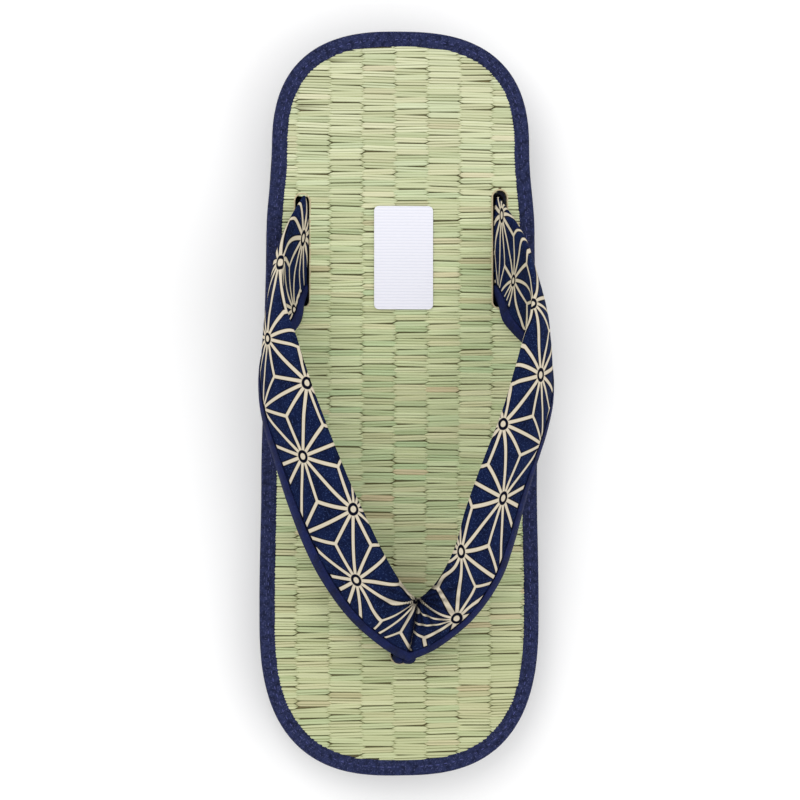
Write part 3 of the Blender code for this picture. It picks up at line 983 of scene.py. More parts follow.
@dataclass
class RushMat:
    """The woven top of the mat: strands of rush over a thin board."""

    column: float = 0.01137
    shift: float = -0.0022
    row: float = 0.0020
    edge: float = 0.0050
    crown: float = 0.0001
    sag: float = 0.0005
    board_depth: float = 0.0012
    end_overlap: float = 0.16
    taper_share: float = 0.13
    end_width: float = 0.28
    ring_shares: tuple[float, ...] = (0.0, 0.03, 0.075, 0.14, 0.86, 0.925, 0.97, 1.0)
    section: tuple[tuple[float, float], ...] = (
        (-0.50, -0.00050), (-0.37, -0.00008), (-0.20, 0.0), (0.0, 0.0), (0.20, 0.0), (0.37, -0.00008),
        (0.50, -0.00050),
    )
    shortest: float = 0.0003
    width_play: tuple[float, float] = (0.96, 1.06)
    height_play: float = 0.00010
    lean_play: float = 0.00022
    split_play: float = 0.07
    grooves: tuple[float, ...] = (0.00020, 0.00030, 0.00036, 0.00040)
    second_play: tuple[float, float] = (-0.00010, 0.00004)
    line_shades: tuple[float, ...] = (0.50, 0.62, 0.75, 0.90)
    edge_shades: tuple[float, ...] = (0.62, 0.75, 0.88, 1.0)
    taper_shade: float = 0.35
    end_shade: float = 0.8
    end_reach: float = 0.06
    row_play: float = 0.0002
    slip_play: float = 0.0005
    board_foot: float = 0.0001
    board_head: float = 0.0010
    seed: int = 11
    rim: float = 0.00032
    rim_steps: int = 8
    rim_end_steps: int = 14
    rim_finish: FoamFinish = field(
        default_factory=lambda: FoamFinish(
            "cut_rush", (0.50, 0.42, 0.26), roughness=0.8, pore=0.0007, depth=0.0001,
            dusty=(0.30, 0.26, 0.15),
        )
    )
    # The board's dark colour is painted shade, seen in the gaps between the strands.
    board_shade_finish: FoamFinish = field(
        default_factory=lambda: FoamFinish(
            "board", (0.20, 0.17, 0.07), roughness=0.85, dusty=(0.11, 0.09, 0.045),
        )
    )
    finish: RushFinish = field(
        default_factory=lambda: RushFinish("rush", (0.68, 0.74, 0.45), roughness=0.62, specular=0.3)
    )

    inside: Width = field(init=False)

    def spans(self, y: float, start: float, end: float) -> list[tuple[float, float]]:
        """The stretches of a strand that lie on the mat, clear of the tape and the slots.

        Args:
            y: where the strand's line runs.
            start: the line's left end.
            end: its right end.

        Returns:
            The stretches, from left to right.
        """
        half = self.inside.at(y)
        stretches = [(max(start, -half), min(end, half))]
        for slot in SLOTS:
            gap = slot.half_at(y)
            if gap == 0.0:
                continue
            low, high = slot.centre - gap, slot.centre + gap
            cut = []
            for left, right in stretches:
                cut.append((left, min(right, low)))
                cut.append((max(left, high), right))
            stretches = cut
        return [(left, right) for left, right in stretches if right - left > self.shortest]

    def strand(
        self, points: list[Vector], faces: list[tuple[int, ...]], marks: dict[str, list[float]],
        places: list[tuple[float, float]], middle: float, start: float, end: float, draw: random.Random,
    ) -> None:
        """Adds one visible stretch of rush, a low mound that dips at both ends.

        Args:
            points: the mesh's vertices, to add to.
            faces: the mesh's faces, to add to.
            marks: the values that each vertex carries, to add to.
            places: each vertex's place in the rush's UV map, to add to.
            middle: the y of the strand's middle.
            start: the x of its left end.
            end: the x of its right end.
            draw: the source of its small differences.
        """
        width = self.row * draw.uniform(*self.width_play)
        height = draw.uniform(-self.height_play, self.height_play)
        lean = draw.uniform(-self.lean_play, self.lean_play)
        split = draw.uniform(-self.split_play, self.split_play)
        groove = draw.choice(self.grooves)
        second = draw.uniform(*self.second_play)
        line = draw.choice(self.line_shades)
        edge_line = draw.choice(self.edge_shades)
        hue, tint = draw.random(), draw.random()
        slide = draw.uniform(0.0, 5.0)
        natural = end - start
        for left, right in self.spans(middle, start, end):
            first = len(points)
            shares = [share + (split if abs(share) < 0.3 else 0.0) for share, _ in self.section]
            rows = [self.clipped(middle, width, share, left, right) for share in shares]
            low_u, high_u = (left - start) / natural, (right - start) / natural
            stops = [low_u] + [u for u in self.ring_shares if low_u + 0.01 < u < high_u - 0.01] + [high_u]
            for stop in stops:
                t = (stop - low_u) / (high_u - low_u)
                ring_points = []
                for number, (share, (y, low, high)) in enumerate(zip(shares, rows)):
                    x = low + (high - low) * t
                    u = min(1.0, max(0.0, (x - start) / natural))
                    near = min(u, 1 - u)
                    taper = smooth_step(0.0, 1.0, near / self.taper_share) ** 0.8
                    swing = lean * (2 * u - 1)
                    dip = self.sag * (1 - taper) - self.section[number][1]
                    if number == len(self.section) // 2:
                        dip += groove * (0.4 + 0.6 * taper)
                    if share > 0.1:
                        dip -= second * taper
                    z = PLAN.mat_top(y) + self.crown + height * taper - dip
                    narrow = self.end_width + (1 - self.end_width) * taper
                    ring_points.append(Vector((x, middle + (y - middle) * narrow + swing, z)))
                    # Painted shade: darker near the strand's ends and along the gaps between its rushes.
                    marks["end"].append(self.end_shade * max(0.0, 1 - near / self.end_reach) ** 1.3)
                    between = {0: edge_line, 3: line, 6: edge_line}.get(number, 0.0)
                    darker = 1.0 - between if between else self.taper_shade
                    marks["gap"].append(between + darker * (1 - taper))
                # The sides that run down to the board are fully in painted shade.
                low_points = [ring_points[-1], ring_points[0]]
                for point in low_points:
                    ring_points.append(Vector((point.x, point.y, PLAN.mat_top(point.y) - self.board_depth)))
                    marks["end"].append(1.0)
                    marks["gap"].append(1.0)
                for point in ring_points:
                    points.append(point)
                    places.append((point.x + slide, point.y + slide))
                    marks["hue"].append(hue)
                    marks["tint"].append(tint)
            faces.extend(tube_faces(len(stops), len(self.section) + 2, first))

    def clipped(
        self, middle: float, width: float, share: float, left: float, right: float
    ) -> tuple[float, float, float]:
        """One line along a strand, cut where the mat's edge or a slot cuts it.

        Args:
            middle: the y of the strand's middle.
            width: the strand's width.
            share: where the line runs across it, from -0.5 to 0.5.
            left: the left end of the strand's middle line.
            right: its right end.

        Returns:
            The line's y, its left end and its right end.
        """
        y = middle + share * width
        best = None
        for low, high in self.spans(y, left - self.column / 2, right + self.column / 2):
            low, high = max(low, left - self.row), min(high, right + self.row)
            if high > low and (best is None or high - low > best[1] - best[0]):
                best = (low, high)
        if best is None:
            return middle, left, right
        low = left if abs(best[0] - left) > self.row * 0.99 else best[0]
        high = right if abs(best[1] - right) > self.row * 0.99 else best[1]
        return y, low, high

    def weave(self) -> bpy.types.Object:
        """Lays every strand, column by column, neighbours half a row apart.

        Returns:
            The strands, as one piece.
        """
        self.inside = Width.of(PLAN.outline(self.edge))
        draw = random.Random(self.seed)
        points: list[Vector] = []
        faces: list[tuple[int, ...]] = []
        marks: dict[str, list[float]] = {"hue": [], "tint": [], "end": [], "gap": []}
        places: list[tuple[float, float]] = []
        reach = int(PLAN.ball_width / 2 / self.column) + 2
        rows = int(PLAN.length / 2 / self.row)
        for index in range(-reach, reach):
            start = self.shift + (index - self.end_overlap / 2) * self.column
            end = start + (1 + self.end_overlap) * self.column
            for row in range(-rows, rows):
                middle = (row + 0.5 * (index % 2)) * self.row
                middle += draw.uniform(-self.row_play, self.row_play)
                slip = draw.uniform(-self.slip_play, self.slip_play)
                self.strand(points, faces, marks, places, middle, start + slip, end + slip, draw)
        obj = closed_piece("rush_weave", points, faces, self.finish.build(), 60.0, places, "rush")
        put_marks(obj, marks)
        return obj

    def board(self) -> bpy.types.Object:
        """The board below the strands, seen only in the gaps and the slots, where its dark colour adds
        painted shade.

        Returns:
            The board.
        """
        bottom, top = self.board_foot, self.board_head
        ring = PLAN.outline(self.edge - 0.0004)
        count = len(ring)
        points = [Vector((point.x, point.y, PLAN.mat_bottom(point.y) + bottom)) for point in ring]
        points += [Vector((point.x, point.y, PLAN.mat_top(point.y) - top)) for point in ring]
        faces = tube_faces(2, count, capped=False)
        for start in (0, count):
            for index in range(count // 2):
                corners = (index, index + 1, (count - index - 1) % count, (count - index) % count)
                faces.append(tuple(start + corner for corner in dict.fromkeys(corners)))
        obj = mesh_object("mat_board", points, faces)
        face_outwards(obj)
        for slot in SLOTS:
            cutter = prism("slot", slot.outline(), lambda y: 0.0, lambda y: 0.05)
            modifier = obj.modifiers.new("slot", "BOOLEAN")
            modifier.operation = "DIFFERENCE"
            modifier.object = cutter
            apply_modifiers(obj)
            bpy.data.objects.remove(cutter)
        obj.data.materials.append(self.board_shade_finish.build())
        shade(obj)
        return obj

    def rims(self) -> bpy.types.Object:
        """The rounded rims of the slots, where the cut rush is glued down.

        Returns:
            The rims, as one piece.
        """
        points, faces, around = [], [], self.rim_steps
        for slot in SLOTS:
            line = slot.outline(self.rim_end_steps)
            first = len(points)
            for index, point in enumerate(line):
                along = (line[(index + 1) % len(line)] - line[index - 1]).normalized()
                away = Vector((along.y, -along.x))
                for step in range(around):
                    angle = 2 * math.pi * step / around
                    place = point + away * (self.rim * (math.cos(angle) + 0.6))
                    place += away * 0.0001 * noise.noise(Vector((point.x * 900, point.y * 900, 0.0)))
                    top = PLAN.mat_top(place.y) - self.rim * 0.9
                    points.append(Vector((place.x, place.y, top + self.rim * 1.2 * math.sin(angle))))
            faces += tube_faces(len(line), around, first, capped=False, looped=True)
        return closed_piece("slot_rims", points, faces, self.rim_finish.build(), 70.0)

    def build(self) -> None:
        """Makes the strands, their board and the rims of the slots."""
        hand_over(self.weave(), Slot.RUSH, Layer.MAT)
        hand_over(self.board(), Slot.RUSH, Layer.MAT)
        hand_over(self.rims(), Slot.RUSH, Layer.MAT)


def prism(
    name: str, outline: Sequence[Vector], low: Callable[[float], float], high: Callable[[float], float]
) -> bpy.types.Object:
    """An upright prism on an outline, with heights that may change along Y.

    Args:
        name: the piece's name.
        outline: its closed outline (x, y).
        low: the height of its underside at y.
        high: the height of its top at y.

    Returns:
        The closed prism.
    """
    bpy.ops.object.select_all(action="DESELECT")
    bpy.ops.mesh.primitive_circle_add(vertices=len(outline), radius=0.05, fill_type="NGON")
    obj = bpy.context.object
    obj.name = name
    for vertex, point in zip(obj.data.vertices, outline):
        vertex.co = (point.x, point.y, 0.0)
    bpy.ops.object.mode_set(mode="EDIT")
    bpy.ops.mesh.select_all(action="SELECT")
    bpy.ops.mesh.extrude_region_move(TRANSFORM_OT_translate={"value": (0.0, 0.0, 1.0)})
    bpy.ops.mesh.select_all(action="SELECT")
    bpy.ops.mesh.quads_convert_to_tris(ngon_method="BEAUTY")
    bpy.ops.mesh.normals_make_consistent(inside=False)
    bpy.ops.object.mode_set(mode="OBJECT")
    for vertex in obj.data.vertices:
        vertex.co.z = high(vertex.co.y) if vertex.co.z > 0.5 else low(vertex.co.y)
    return obj


def put_marks(obj: bpy.types.Object, marks: dict[str, Sequence[float]]) -> None:
    """Gives obj named values, with one number for each vertex.

    Args:
        obj: the piece.
        marks: the numbers by name.
    """
    for name, values in marks.items():
        attribute = obj.data.attributes.new(name, "FLOAT", "POINT")
        attribute.data.foreach_set("value", np.array(values, np.float32))


def put_uv(obj: bpy.types.Object, name: str, places: Sequence[tuple[float, float]]) -> None:
    """Gives obj a UV map with one place for each vertex.

    Args:
        obj: the piece.
        name: the map's name.
        places: the vertices' places in the map.
    """
    layer = obj.data.uv_layers.new(name=name)
    corners = np.zeros(len(obj.data.loops), np.int32)
    obj.data.loops.foreach_get("vertex_index", corners)
    values = np.array(places, np.float32)[corners]
    layer.data.foreach_set("uv", values.ravel())


def closed_piece(
    name: str, points: Sequence[Vector], faces: Sequence[Sequence[int]], material: bpy.types.Material,
    degrees: float, places: Sequence[tuple[float, float]] = (), layer: str = "cloth",
) -> bpy.types.Object:
    """Makes a finished closed piece, with its faces outwards.

    Args:
        name: the piece's name.
        points: its vertices, in the row frame.
        faces: for each face, the vertices' places in points.
        material: its finish.
        degrees: edges sharper than this stay crisp.
        places: each vertex's place in the UV map, or none for no map.
        layer: the UV map's name.

    Returns:
        The piece.
    """
    obj = mesh_object(name, points, faces)
    face_outwards(obj)
    if places:
        put_uv(obj, layer, places)
    shade(obj, degrees)
    obj.data.materials.append(material)
    return obj


@dataclass
class EdgeTape:
    """Navy tape folded over the edge of the mat, with its row of machine stitches."""

    width: float = 0.0054
    wall: float = 0.0009
    thick: float = 0.0006
    proud: float = 0.0004
    bend: float = 0.0011
    bend_steps: int = 6
    flat_steps: int = 6
    foot: float = 0.0001
    puff: float = 0.00012
    dip: float = 0.0002
    ripple: float = 0.00009
    stitch_in: float = 0.0024
    stitch: float = 0.0021
    stitch_gap: float = 0.0007
    thread: float = 0.00020
    thread_around: int = 6
    thread_rings: int = 5
    thread_sunk: float = 0.00005
    thread_dive: float = 0.0003
    finish: BandCloth = field(
        default_factory=lambda: BandCloth(
            "tape", (0.024, 0.031, 0.092), roughness=0.9, specular=0.1, shade=(0.006, 0.009, 0.030),
            fleck=(0.13, 0.14, 0.30), pitch=0.00055, uneven=520.0,
        )
    )
    thread_finish: ThreadFinish = field(
        default_factory=lambda: ThreadFinish("tape_thread", (0.05, 0.06, 0.24), roughness=0.6)
    )

    effects: Effects = field(init=False)

    def section(self) -> list[tuple[float, float]]:
        """The tape's section as (inset, height above the mat's crowns), round the outside first.

        Returns:
            The points of the closed section.
        """
        base = -PLAN.mat_thickness + self.foot
        path = [(0.0, base), (0.0, base / 2)]
        for step in range(self.bend_steps + 1):
            angle = math.radians(90) * step / self.bend_steps
            path.append((self.bend * (1 - math.cos(angle)), self.proud - self.bend * (1 - math.sin(angle))))
        flat = self.width - self.thick / 2 - self.bend
        for step in range(1, self.flat_steps + 1):
            on = step / self.flat_steps
            puff = self.puff * math.sin(math.pi * on) - self.dip * on**3
            path.append((self.bend + flat * on, self.proud + puff))
        path.append((self.width, self.proud - self.dip - self.thick / 2))
        path.append((self.width - self.thick / 2, self.proud - self.dip - self.thick))
        path.append((self.wall, self.proud - self.dip - self.thick))
        path.append((self.wall, base))
        return path

    def tape(self) -> bpy.types.Object:
        """Sweeps the section round the sole.

        Returns:
            The tape.
        """
        section = self.section()
        loops = [PLAN.outline(inset) for inset, _ in section]
        count = len(loops[0])
        travelled = [0.0]
        for index in range(count):
            travelled.append(travelled[-1] + (loops[0][(index + 1) % count] - loops[0][index]).length)
        across = [0.0]
        for (inset, height), (next_inset, next_height) in zip(section, section[1:]):
            across.append(across[-1] + math.hypot(next_inset - inset, next_height - height))
        points, places = [], []
        for index in range(count + 1):
            for number, (_, height) in enumerate(section):
                point = loops[number][index % count]
                ripple = self.ripple * noise.noise(Vector((point.x * 160, point.y * 160, number * 0.2)))
                if index < count:
                    points.append(Vector((point.x, point.y, PLAN.mat_top(point.y) + height + ripple)))
                places.append((travelled[index], across[number]))
        faces = tube_faces(count, len(section), capped=False, looped=True)
        uv_faces = tube_faces(count + 1, len(section), capped=False)
        obj = mesh_object("edge_tape_cloth", points, faces)
        layer = obj.data.uv_layers.new(name="cloth")
        values = [places[corner] for face in uv_faces for corner in face]
        layer.data.foreach_set("uv", np.array(values, np.float32).ravel())
        face_outwards(obj)
        shade(obj, 60.0)
        obj.data.materials.append(self.finish.build(self.effects))
        return obj

    def stitches(self) -> bpy.types.Object:
        """One row of stitches round the tape, near its inner edge.

        Returns:
            The stitches, as one piece.
        """
        line = PLAN.outline(self.width - self.stitch_in)
        count = len(line)
        places = [0.0]
        for index in range(count):
            places.append(places[-1] + (line[(index + 1) % count] - line[index]).length)
        xs = [point.x for point in line] + [line[0].x]
        ys = [point.y for point in line] + [line[0].y]
        pitch = self.stitch + self.stitch_gap
        number = int(places[-1] / pitch)
        pitch = places[-1] / number
        points, faces = [], []
        around, rings = self.thread_around, self.thread_rings
        for index in range(number):
            first = len(points)
            for ring in range(rings):
                share = ring / (rings - 1)
                on = (index * pitch + self.stitch * share) % places[-1]
                x, y = float(np.interp(on, places, xs)), float(np.interp(on, places, ys))
                ahead = (on + 0.0004) % places[-1]
                next_x, next_y = float(np.interp(ahead, places, xs)), float(np.interp(ahead, places, ys))
                along = Vector((next_x - x, next_y - y, 0.0)).normalized()
                sideways = Vector((along.y, -along.x, 0.0))
                lift = self.proud - self.thread_sunk - self.thread_dive * abs(2 * share - 1) ** 4
                for step in range(around):
                    angle = 2 * math.pi * step / around
                    out = sideways * math.cos(angle) + Vector((0.0, 0.0, math.sin(angle)))
                    points.append(Vector((x, y, PLAN.mat_top(y) + lift)) + out * self.thread)
            faces.extend(tube_faces(rings, around, first))
        return closed_piece("tape_stitches", points, faces, self.thread_finish.build(), 80.0)

    def build(self, effects: Effects) -> None:
        """Makes the tape and its stitches.

        Args:
            effects: the shared node groups.
        """
        self.effects = effects
        hand_over(self.tape(), Slot.TAPE, Layer.TAPE)
        hand_over(self.stitches(), Slot.TAPE)


@dataclass
class Straps:
    """Both padded straps as one band, from the right slot over the join to the left slot."""

    reach: float = 0.0496
    rise: float = 0.0390
    width: float = 0.0245
    thickness: float = 0.0068
    tail: float = 0.0100
    back: float = 0.0725
    run: float = 0.1620
    lean: float = 0.0045
    hem_thinning: float = 0.45
    bluntness: float = 0.42
    binding: float = 0.0043
    plain_strip: float = 0.028
    steps: int = 9
    fine_rows: int = 3
    fine_steps: int = 22
    around: int = 60
    spacing: float = 0.0268
    repeat_share: float = 0.81
    ridge_round: float = 0.05
    ridge_reach: float = 0.02
    right_rows: tuple[tuple[float, float], ...] = (
        (-0.9, 7.0), (0.5, 6.0), (2.0, 5.0), (4.5, 4.0), (6.9, 3.0), (8.5, 2.0), (10.2, 1.0), (12.0, 0.0),
        (13.6, -1.0), (15.0, -2.0),
    )
    right_turns: tuple[tuple[float, float], ...] = (
        (0.0, -0.14), (2.0, -0.16), (4.5, -0.02), (6.9, -0.05), (8.5, 0.07), (10.2, 0.075), (12.0, 0.12),
        (13.3, 0.29), (15.0, 0.45),
    )
    left_rows: tuple[tuple[float, float], ...] = (
        (-1.5, 8.0), (0.5, 7.0), (2.9, 6.0), (5.7, 5.0), (7.4, 4.0), (9.1, 3.0), (10.8, 2.0), (12.3, 1.0),
        (13.8, 0.0), (15.0, -0.8),
    )
    left_turns: tuple[tuple[float, float], ...] = (
        (0.5, 0.03), (2.9, 0.01), (5.7, -0.02), (7.4, 0.055), (9.1, 0.045), (10.8, 0.12), (12.3, 0.12),
        (15.0, 0.14),
    )
    right_flower: tuple[float, float] = (13.3, 0.68)
    right_blend: tuple[float, float] = (12.0, 13.0)
    right_fan: tuple[tuple[float, float, float], ...] = (
        (45, 60, 1.0), (59, 90, 1.0), (89, 120, 1.08), (122, 150, 1.18), (153, 180, 1.2), (168, 210, 1.2),
        (187, 240, 1.2), (211, 270, 1.22), (260, 300, 1.2), (300, 330, 1.1), (340, 360, 1.0), (405, 420, 1.0),
    )
    right_bends: tuple[tuple[float, float], ...] = (
        (118, 0), (145, 18), (165, 20), (190, 22), (215, 8), (235, 0),
    )
    right_bend_reach: float = 0.014
    left_blend: tuple[float, float] = (12.3, 13.5)
    left_fan: tuple[tuple[float, float, float], ...] = (
        (90, 125, 1.9), (125, 104, 1.9), (137, 90, 1.9), (163, 60, 1.2), (202, 30, 1.06), (217, 2, 1.1),
        (243, -30, 1.2), (262, -50, 1.2), (290, -75, 1.2), (450, -235, 1.2),
    )
    left_bends: tuple[tuple[float, float], ...] = (
        (137, 0), (165, 25), (189, 38), (205, 28), (215, 20), (228, 12), (241, 0),
    )
    left_bend_reach: float = 0.022
    inner_fade: float = 0.3
    fan_angle: float = 1.75
    pleats: float = 5.0
    pleat_reach: float = 0.0090
    pleat_shade: float = 0.0135
    crotch_shade: float = 0.0019
    pleat_depth: float = 0.0005
    seam_width: float = 0.0011
    seam_depth: float = 0.0007
    lump: float = 0.00045
    pucker: float = 0.00012
    pucker_rate: float = 11.0
    hem_gap: float = 0.003
    hem_proud: float = 0.0006
    post_width: float = 0.0052
    post_back: float = -0.0695
    post_front: float = -0.0852
    post_lobe: float = 0.55
    post_skew: float = 0.0016
    post_rings: int = 13
    post_around: int = 40
    post_square: float = 0.6
    hem_steps: int = 7
    plain_fade: float = 0.012
    tip_folds: tuple[tuple[float, float, float, float, float, float], ...] = (
        (-0.0006, -0.0890, 0.0021, 0.0020, -0.0030, 0.0070),
        (0.0027, -0.0892, 0.0024, 0.0017, 0.0003, 0.0078),
    )
    cloth: StrapCloth = field(
        default_factory=lambda: StrapCloth(
            "strap_cloth", (0.0060, 0.0125, 0.052), roughness=0.9, specular=0.04,
        )
    )
    binding_cloth: BandCloth = field(
        default_factory=lambda: BandCloth(
            "binding_cloth", (0.0065, 0.0125, 0.078), roughness=0.8, specular=0.15,
            shade=(0.003, 0.006, 0.034), fleck=(0.020, 0.034, 0.14), pitch=0.00035, uneven=240.0,
        )
    )
    columns: tuple[str, ...] = (
        "ridge_out", "ridge_on", "ridge_up", "ridge_lean", "hem_out", "hem_on", "hem_up", "hem_lean",
        "bow", "swell",
    )
    rows: tuple[tuple[float, ...], ...] = (
        (0.685, 0.000, 0.000, 0.00, 0.685, 0.231, 0.000, 0.00, 0.00, 0.50),
        (0.766, 0.043, 0.141, 0.00, 0.692, 0.243, 0.031, 0.00, 0.06, 0.66),
        (0.833, 0.096, 0.333, 0.00, 0.698, 0.256, 0.072, 0.00, 0.12, 0.84),
        (0.861, 0.157, 0.544, 0.00, 0.718, 0.275, 0.128, 0.00, 0.16, 0.94),
        (0.859, 0.213, 0.710, 0.00, 0.776, 0.299, 0.218, 0.00, 0.18, 1.00),
        (0.833, 0.262, 0.831, 0.00, 0.877, 0.333, 0.321, 0.00, 0.16, 1.00),
        (0.774, 0.312, 0.910, 0.02, 0.972, 0.377, 0.436, 0.00, 0.12, 1.00),
        (0.710, 0.373, 0.969, 0.05, 1.000, 0.441, 0.538, 0.00, 0.09, 1.00),
        (0.629, 0.448, 1.000, 0.10, 0.968, 0.503, 0.610, 0.00, 0.08, 1.00),
        (0.538, 0.522, 1.000, 0.14, 0.901, 0.571, 0.649, 0.00, 0.07, 0.98),
        (0.446, 0.596, 0.959, 0.22, 0.821, 0.651, 0.659, 0.02, 0.06, 0.96),
        (0.349, 0.670, 0.879, 0.44, 0.732, 0.738, 0.621, 0.22, 0.06, 0.94),
        (0.260, 0.744, 0.769, 0.78, 0.619, 0.821, 0.531, 0.49, 0.06, 0.92),
        (0.153, 0.809, 0.641, 0.97, 0.433, 0.904, 0.410, 0.62, 0.06, 0.90),
        (0.060, 0.846, 0.538, 1.00, 0.192, 0.969, 0.300, 0.60, 0.05, 0.86),
        (0.000, 0.861, 0.474, 1.00, 0.000, 1.000, 0.200, 0.45, 0.02, 0.74),
    )

    effects: Effects = field(init=False)
    crotch: Vector = field(init=False)

    def station(self, at: float) -> dict[str, float | Vector]:
        """A section of the right strap.

        Args:
            at: its place, counted in rows from the slot.

        Returns:
            Its values by name, with the points of its two edges.
        """
        row: dict[str, float | Vector] = dict(zip(self.columns, curve_through(self.rows, at)))
        for edge in ("ridge", "hem"):
            x = row[f"{edge}_out"] * self.reach
            y = self.back - row[f"{edge}_on"] * self.run
            row[edge] = Vector((x, y, row[f"{edge}_up"] * self.rise))
        return row

    def facing(self, at: float) -> Vector:
        """The way the right strap runs at a station.

        Args:
            at: the station.

        Returns:
            The way, as a unit vector.
        """
        step = 0.25
        last = len(self.rows) - 1
        before = self.station(max(0.0, at - step))
        after = self.station(min(float(last), at + step))
        start = (before["ridge"] + before["hem"]) / 2
        end = (after["ridge"] + after["hem"]) / 2
        if at + step > last:
            end = Vector((-start.x, start.y, start.z))
        if at - step < 0:
            start = start - Vector((0.0, 0.0, 0.004))
        return (end - start).normalized()

    def surface(self, at: float, share: float, face: float, proud: float, side: int) -> Vector:
        """A point of a strap's surface.

        Args:
            at: the station.
            share: from the ridge, 0, to the hem, 1.
            face: 1 outside and -1 inside.
            proud: how far the point stands off the band.
            side: 1 on the right and -1 on the left.

        Returns:
            The point, in the row frame.
        """
        row = self.station(at)
        across = row["hem"] - row["ridge"]
        arch = 4 * share * (1 - share)
        half = row["swell"] * self.thickness / 2 * max(0.0, arch) ** self.bluntness
        half *= 1 - self.hem_thinning * share
        offset = row["bow"] * self.width * arch + face * (half + proud)
        point = row["ridge"] + share * across + offset * self.facing(at).cross(across).normalized()
        leaning = row["ridge_lean"] + share * (row["hem_lean"] - row["ridge_lean"])
        point.x = side * point.x + leaning * self.lean
        point.z += PLAN.mat_top(point.y)
        return point

    def stations(self) -> list[float]:
        """The stations of the mesh, closer together near the join.

        Returns:
            The stations, from the slot to the join.
        """
        last = len(self.rows) - 1
        plain = [step / self.steps for step in range((last - self.fine_rows) * self.steps)]
        count = self.fine_rows * self.fine_steps
        fine = [last - self.fine_rows + step / self.fine_steps for step in range(count + 1)]
        return plain + fine

    def both_straps(self) -> list[tuple[int, float]]:
        """Each section's side and station, from the right slot over the join to the left slot."""
        stations = self.stations()
        return [(1, at) for at in stations] + [(-1, at) for at in reversed(stations[:-1])]

    def printed(self, at: float, share: float, face: int, side: int) -> tuple[float, float]:
        """The place on the printed cloth of a point of the band, away from the join.

        Args:
            at: its station.
            share: from the ridge, 0, to the hem, 1.
            face: 1 outside and -1 inside.
            side: 1 on the right and -1 on the left.

        Returns:
            The place (across, along) in metres.
        """
        rows, turns = (self.right_rows, self.right_turns) if side > 0 else (self.left_rows, self.left_turns)
        row = curve_by_place(rows, at)
        turn = curve_by_place(turns, at)
        across = share + self.ridge_round * (1 - math.exp(-share / self.ridge_reach)) * (1 - share)
        along = row * self.spacing * math.sqrt(3) / 2
        return self.spacing * (face * across - turn) / self.repeat_share, along

    def gathered(self, point: Vector, side: int) -> tuple[float, float]:
        """The place on the printed cloth near the join, where it turns round one flower of the print.

        Args:
            point: a point of the band.
            side: 1 on the right and -1 on the left.

        Returns:
            The place (across, along) in metres.
        """
        rise = self.spacing * math.sqrt(3) / 2
        if side > 0:
            at, share = self.right_flower
            middle = self.surface(at, share, 1, 0.0, 1)
            start, table = (self.spacing / 2, -rise), self.right_fan
            bends, bend_reach = self.right_bends, self.right_bend_reach
        else:
            middle, start, table = self.crotch, (0.0, 0.0), self.left_fan
            bends, bend_reach = self.left_bends, self.left_bend_reach
        away = point - middle
        seen = math.degrees(math.atan2(away.y, away.x)) % 360
        bend = float(np.interp(seen, *zip(*bends)))
        seen += bend * (min(1.6, math.hypot(away.x, away.y) / bend_reach) - 1)
        if seen < table[0][0]:
            seen += 360
        angles, turned, scales = zip(*table)
        turn = math.radians(float(np.interp(seen, angles, turned)))
        reach = math.hypot(away.x, away.y) * float(np.interp(seen, angles, scales))
        return start[0] + reach * math.cos(turn), start[1] + reach * math.sin(turn)

    def round_crotch(self, point: Vector, side: int) -> tuple[float, float]:
        """The turn round the crotch, in shares of the fan, and the distance from it.

        Args:
            point: a point of the band.
            side: 1 on the right and -1 on the left.

        Returns:
            The turn and the distance.
        """
        away = Vector((side * (point.x - self.crotch.x), point.y - self.crotch.y))
        distance = away.length
        angle = math.atan2(away.x, -away.y) if distance > 1e-6 else 0.0
        return 1.0 - angle / self.fan_angle, distance

    def settle(
        self, point: Vector, normal: Vector, at: float, share: float, face: int, side: int
    ) -> tuple[Vector, float]:
        """Moves a point of the band for its folds, puckers and seam.

        Args:
            point: the point on the smooth band.
            normal: the way out there.
            at: its station.
            share: its share across.
            face: 1 outside and -1 inside.
            side: 1 on the right and -1 on the left.

        Returns:
            The point and how much painted shade it takes in the pleats' troughs, along the seam and at the
            crotch, from 0 to 1.
        """
        fan, distance = self.round_crotch(point, side)
        near = math.exp(-((distance / self.pleat_reach) ** 2))
        wander = 0.35 * noise.noise(Vector((distance * 90, side * 7.0, 0.0)))
        wave = math.cos(2 * math.pi * (self.pleats * fan + wander))
        from_seam = abs(point.x - self.crotch.x * (0.45 + 0.55 * max(0.0, 1 - share)))
        seam = math.exp(-((from_seam / self.seam_width) ** 2)) if at > len(self.rows) - 3 else 0.0
        lump = noise.noise(Vector((point.x * 70, point.y * 70, point.z * 70 + side)))
        crease = noise.noise(Vector((point.x * 190, point.y * 190, point.z * 190 + 5 * side)))
        pucker = math.cos(at * self.pucker_rate) * math.exp(-(((share - 0.84) / 0.09) ** 2))
        shift = self.pleat_depth * near * wave * (1 if face > 0 else 0.3)
        shift += self.lump * lump + 0.25 * self.lump * crease + self.pucker * pucker
        shift -= self.seam_depth * seam
        # Painted shade: darker in the pleats' troughs near the crotch, along the seam and at the crotch, more
        # on the right strap.
        dark = math.exp(-((distance / self.pleat_shade) ** 2)) * (1.0 if side > 0 else 0.75)
        crotch = math.exp(-((distance / self.crotch_shade) ** 2))
        depth = max(dark * (0.55 - 0.45 * wave), 0.75 * seam, crotch) if face > 0 else 0.0
        return point + shift * normal, min(1.0, depth)

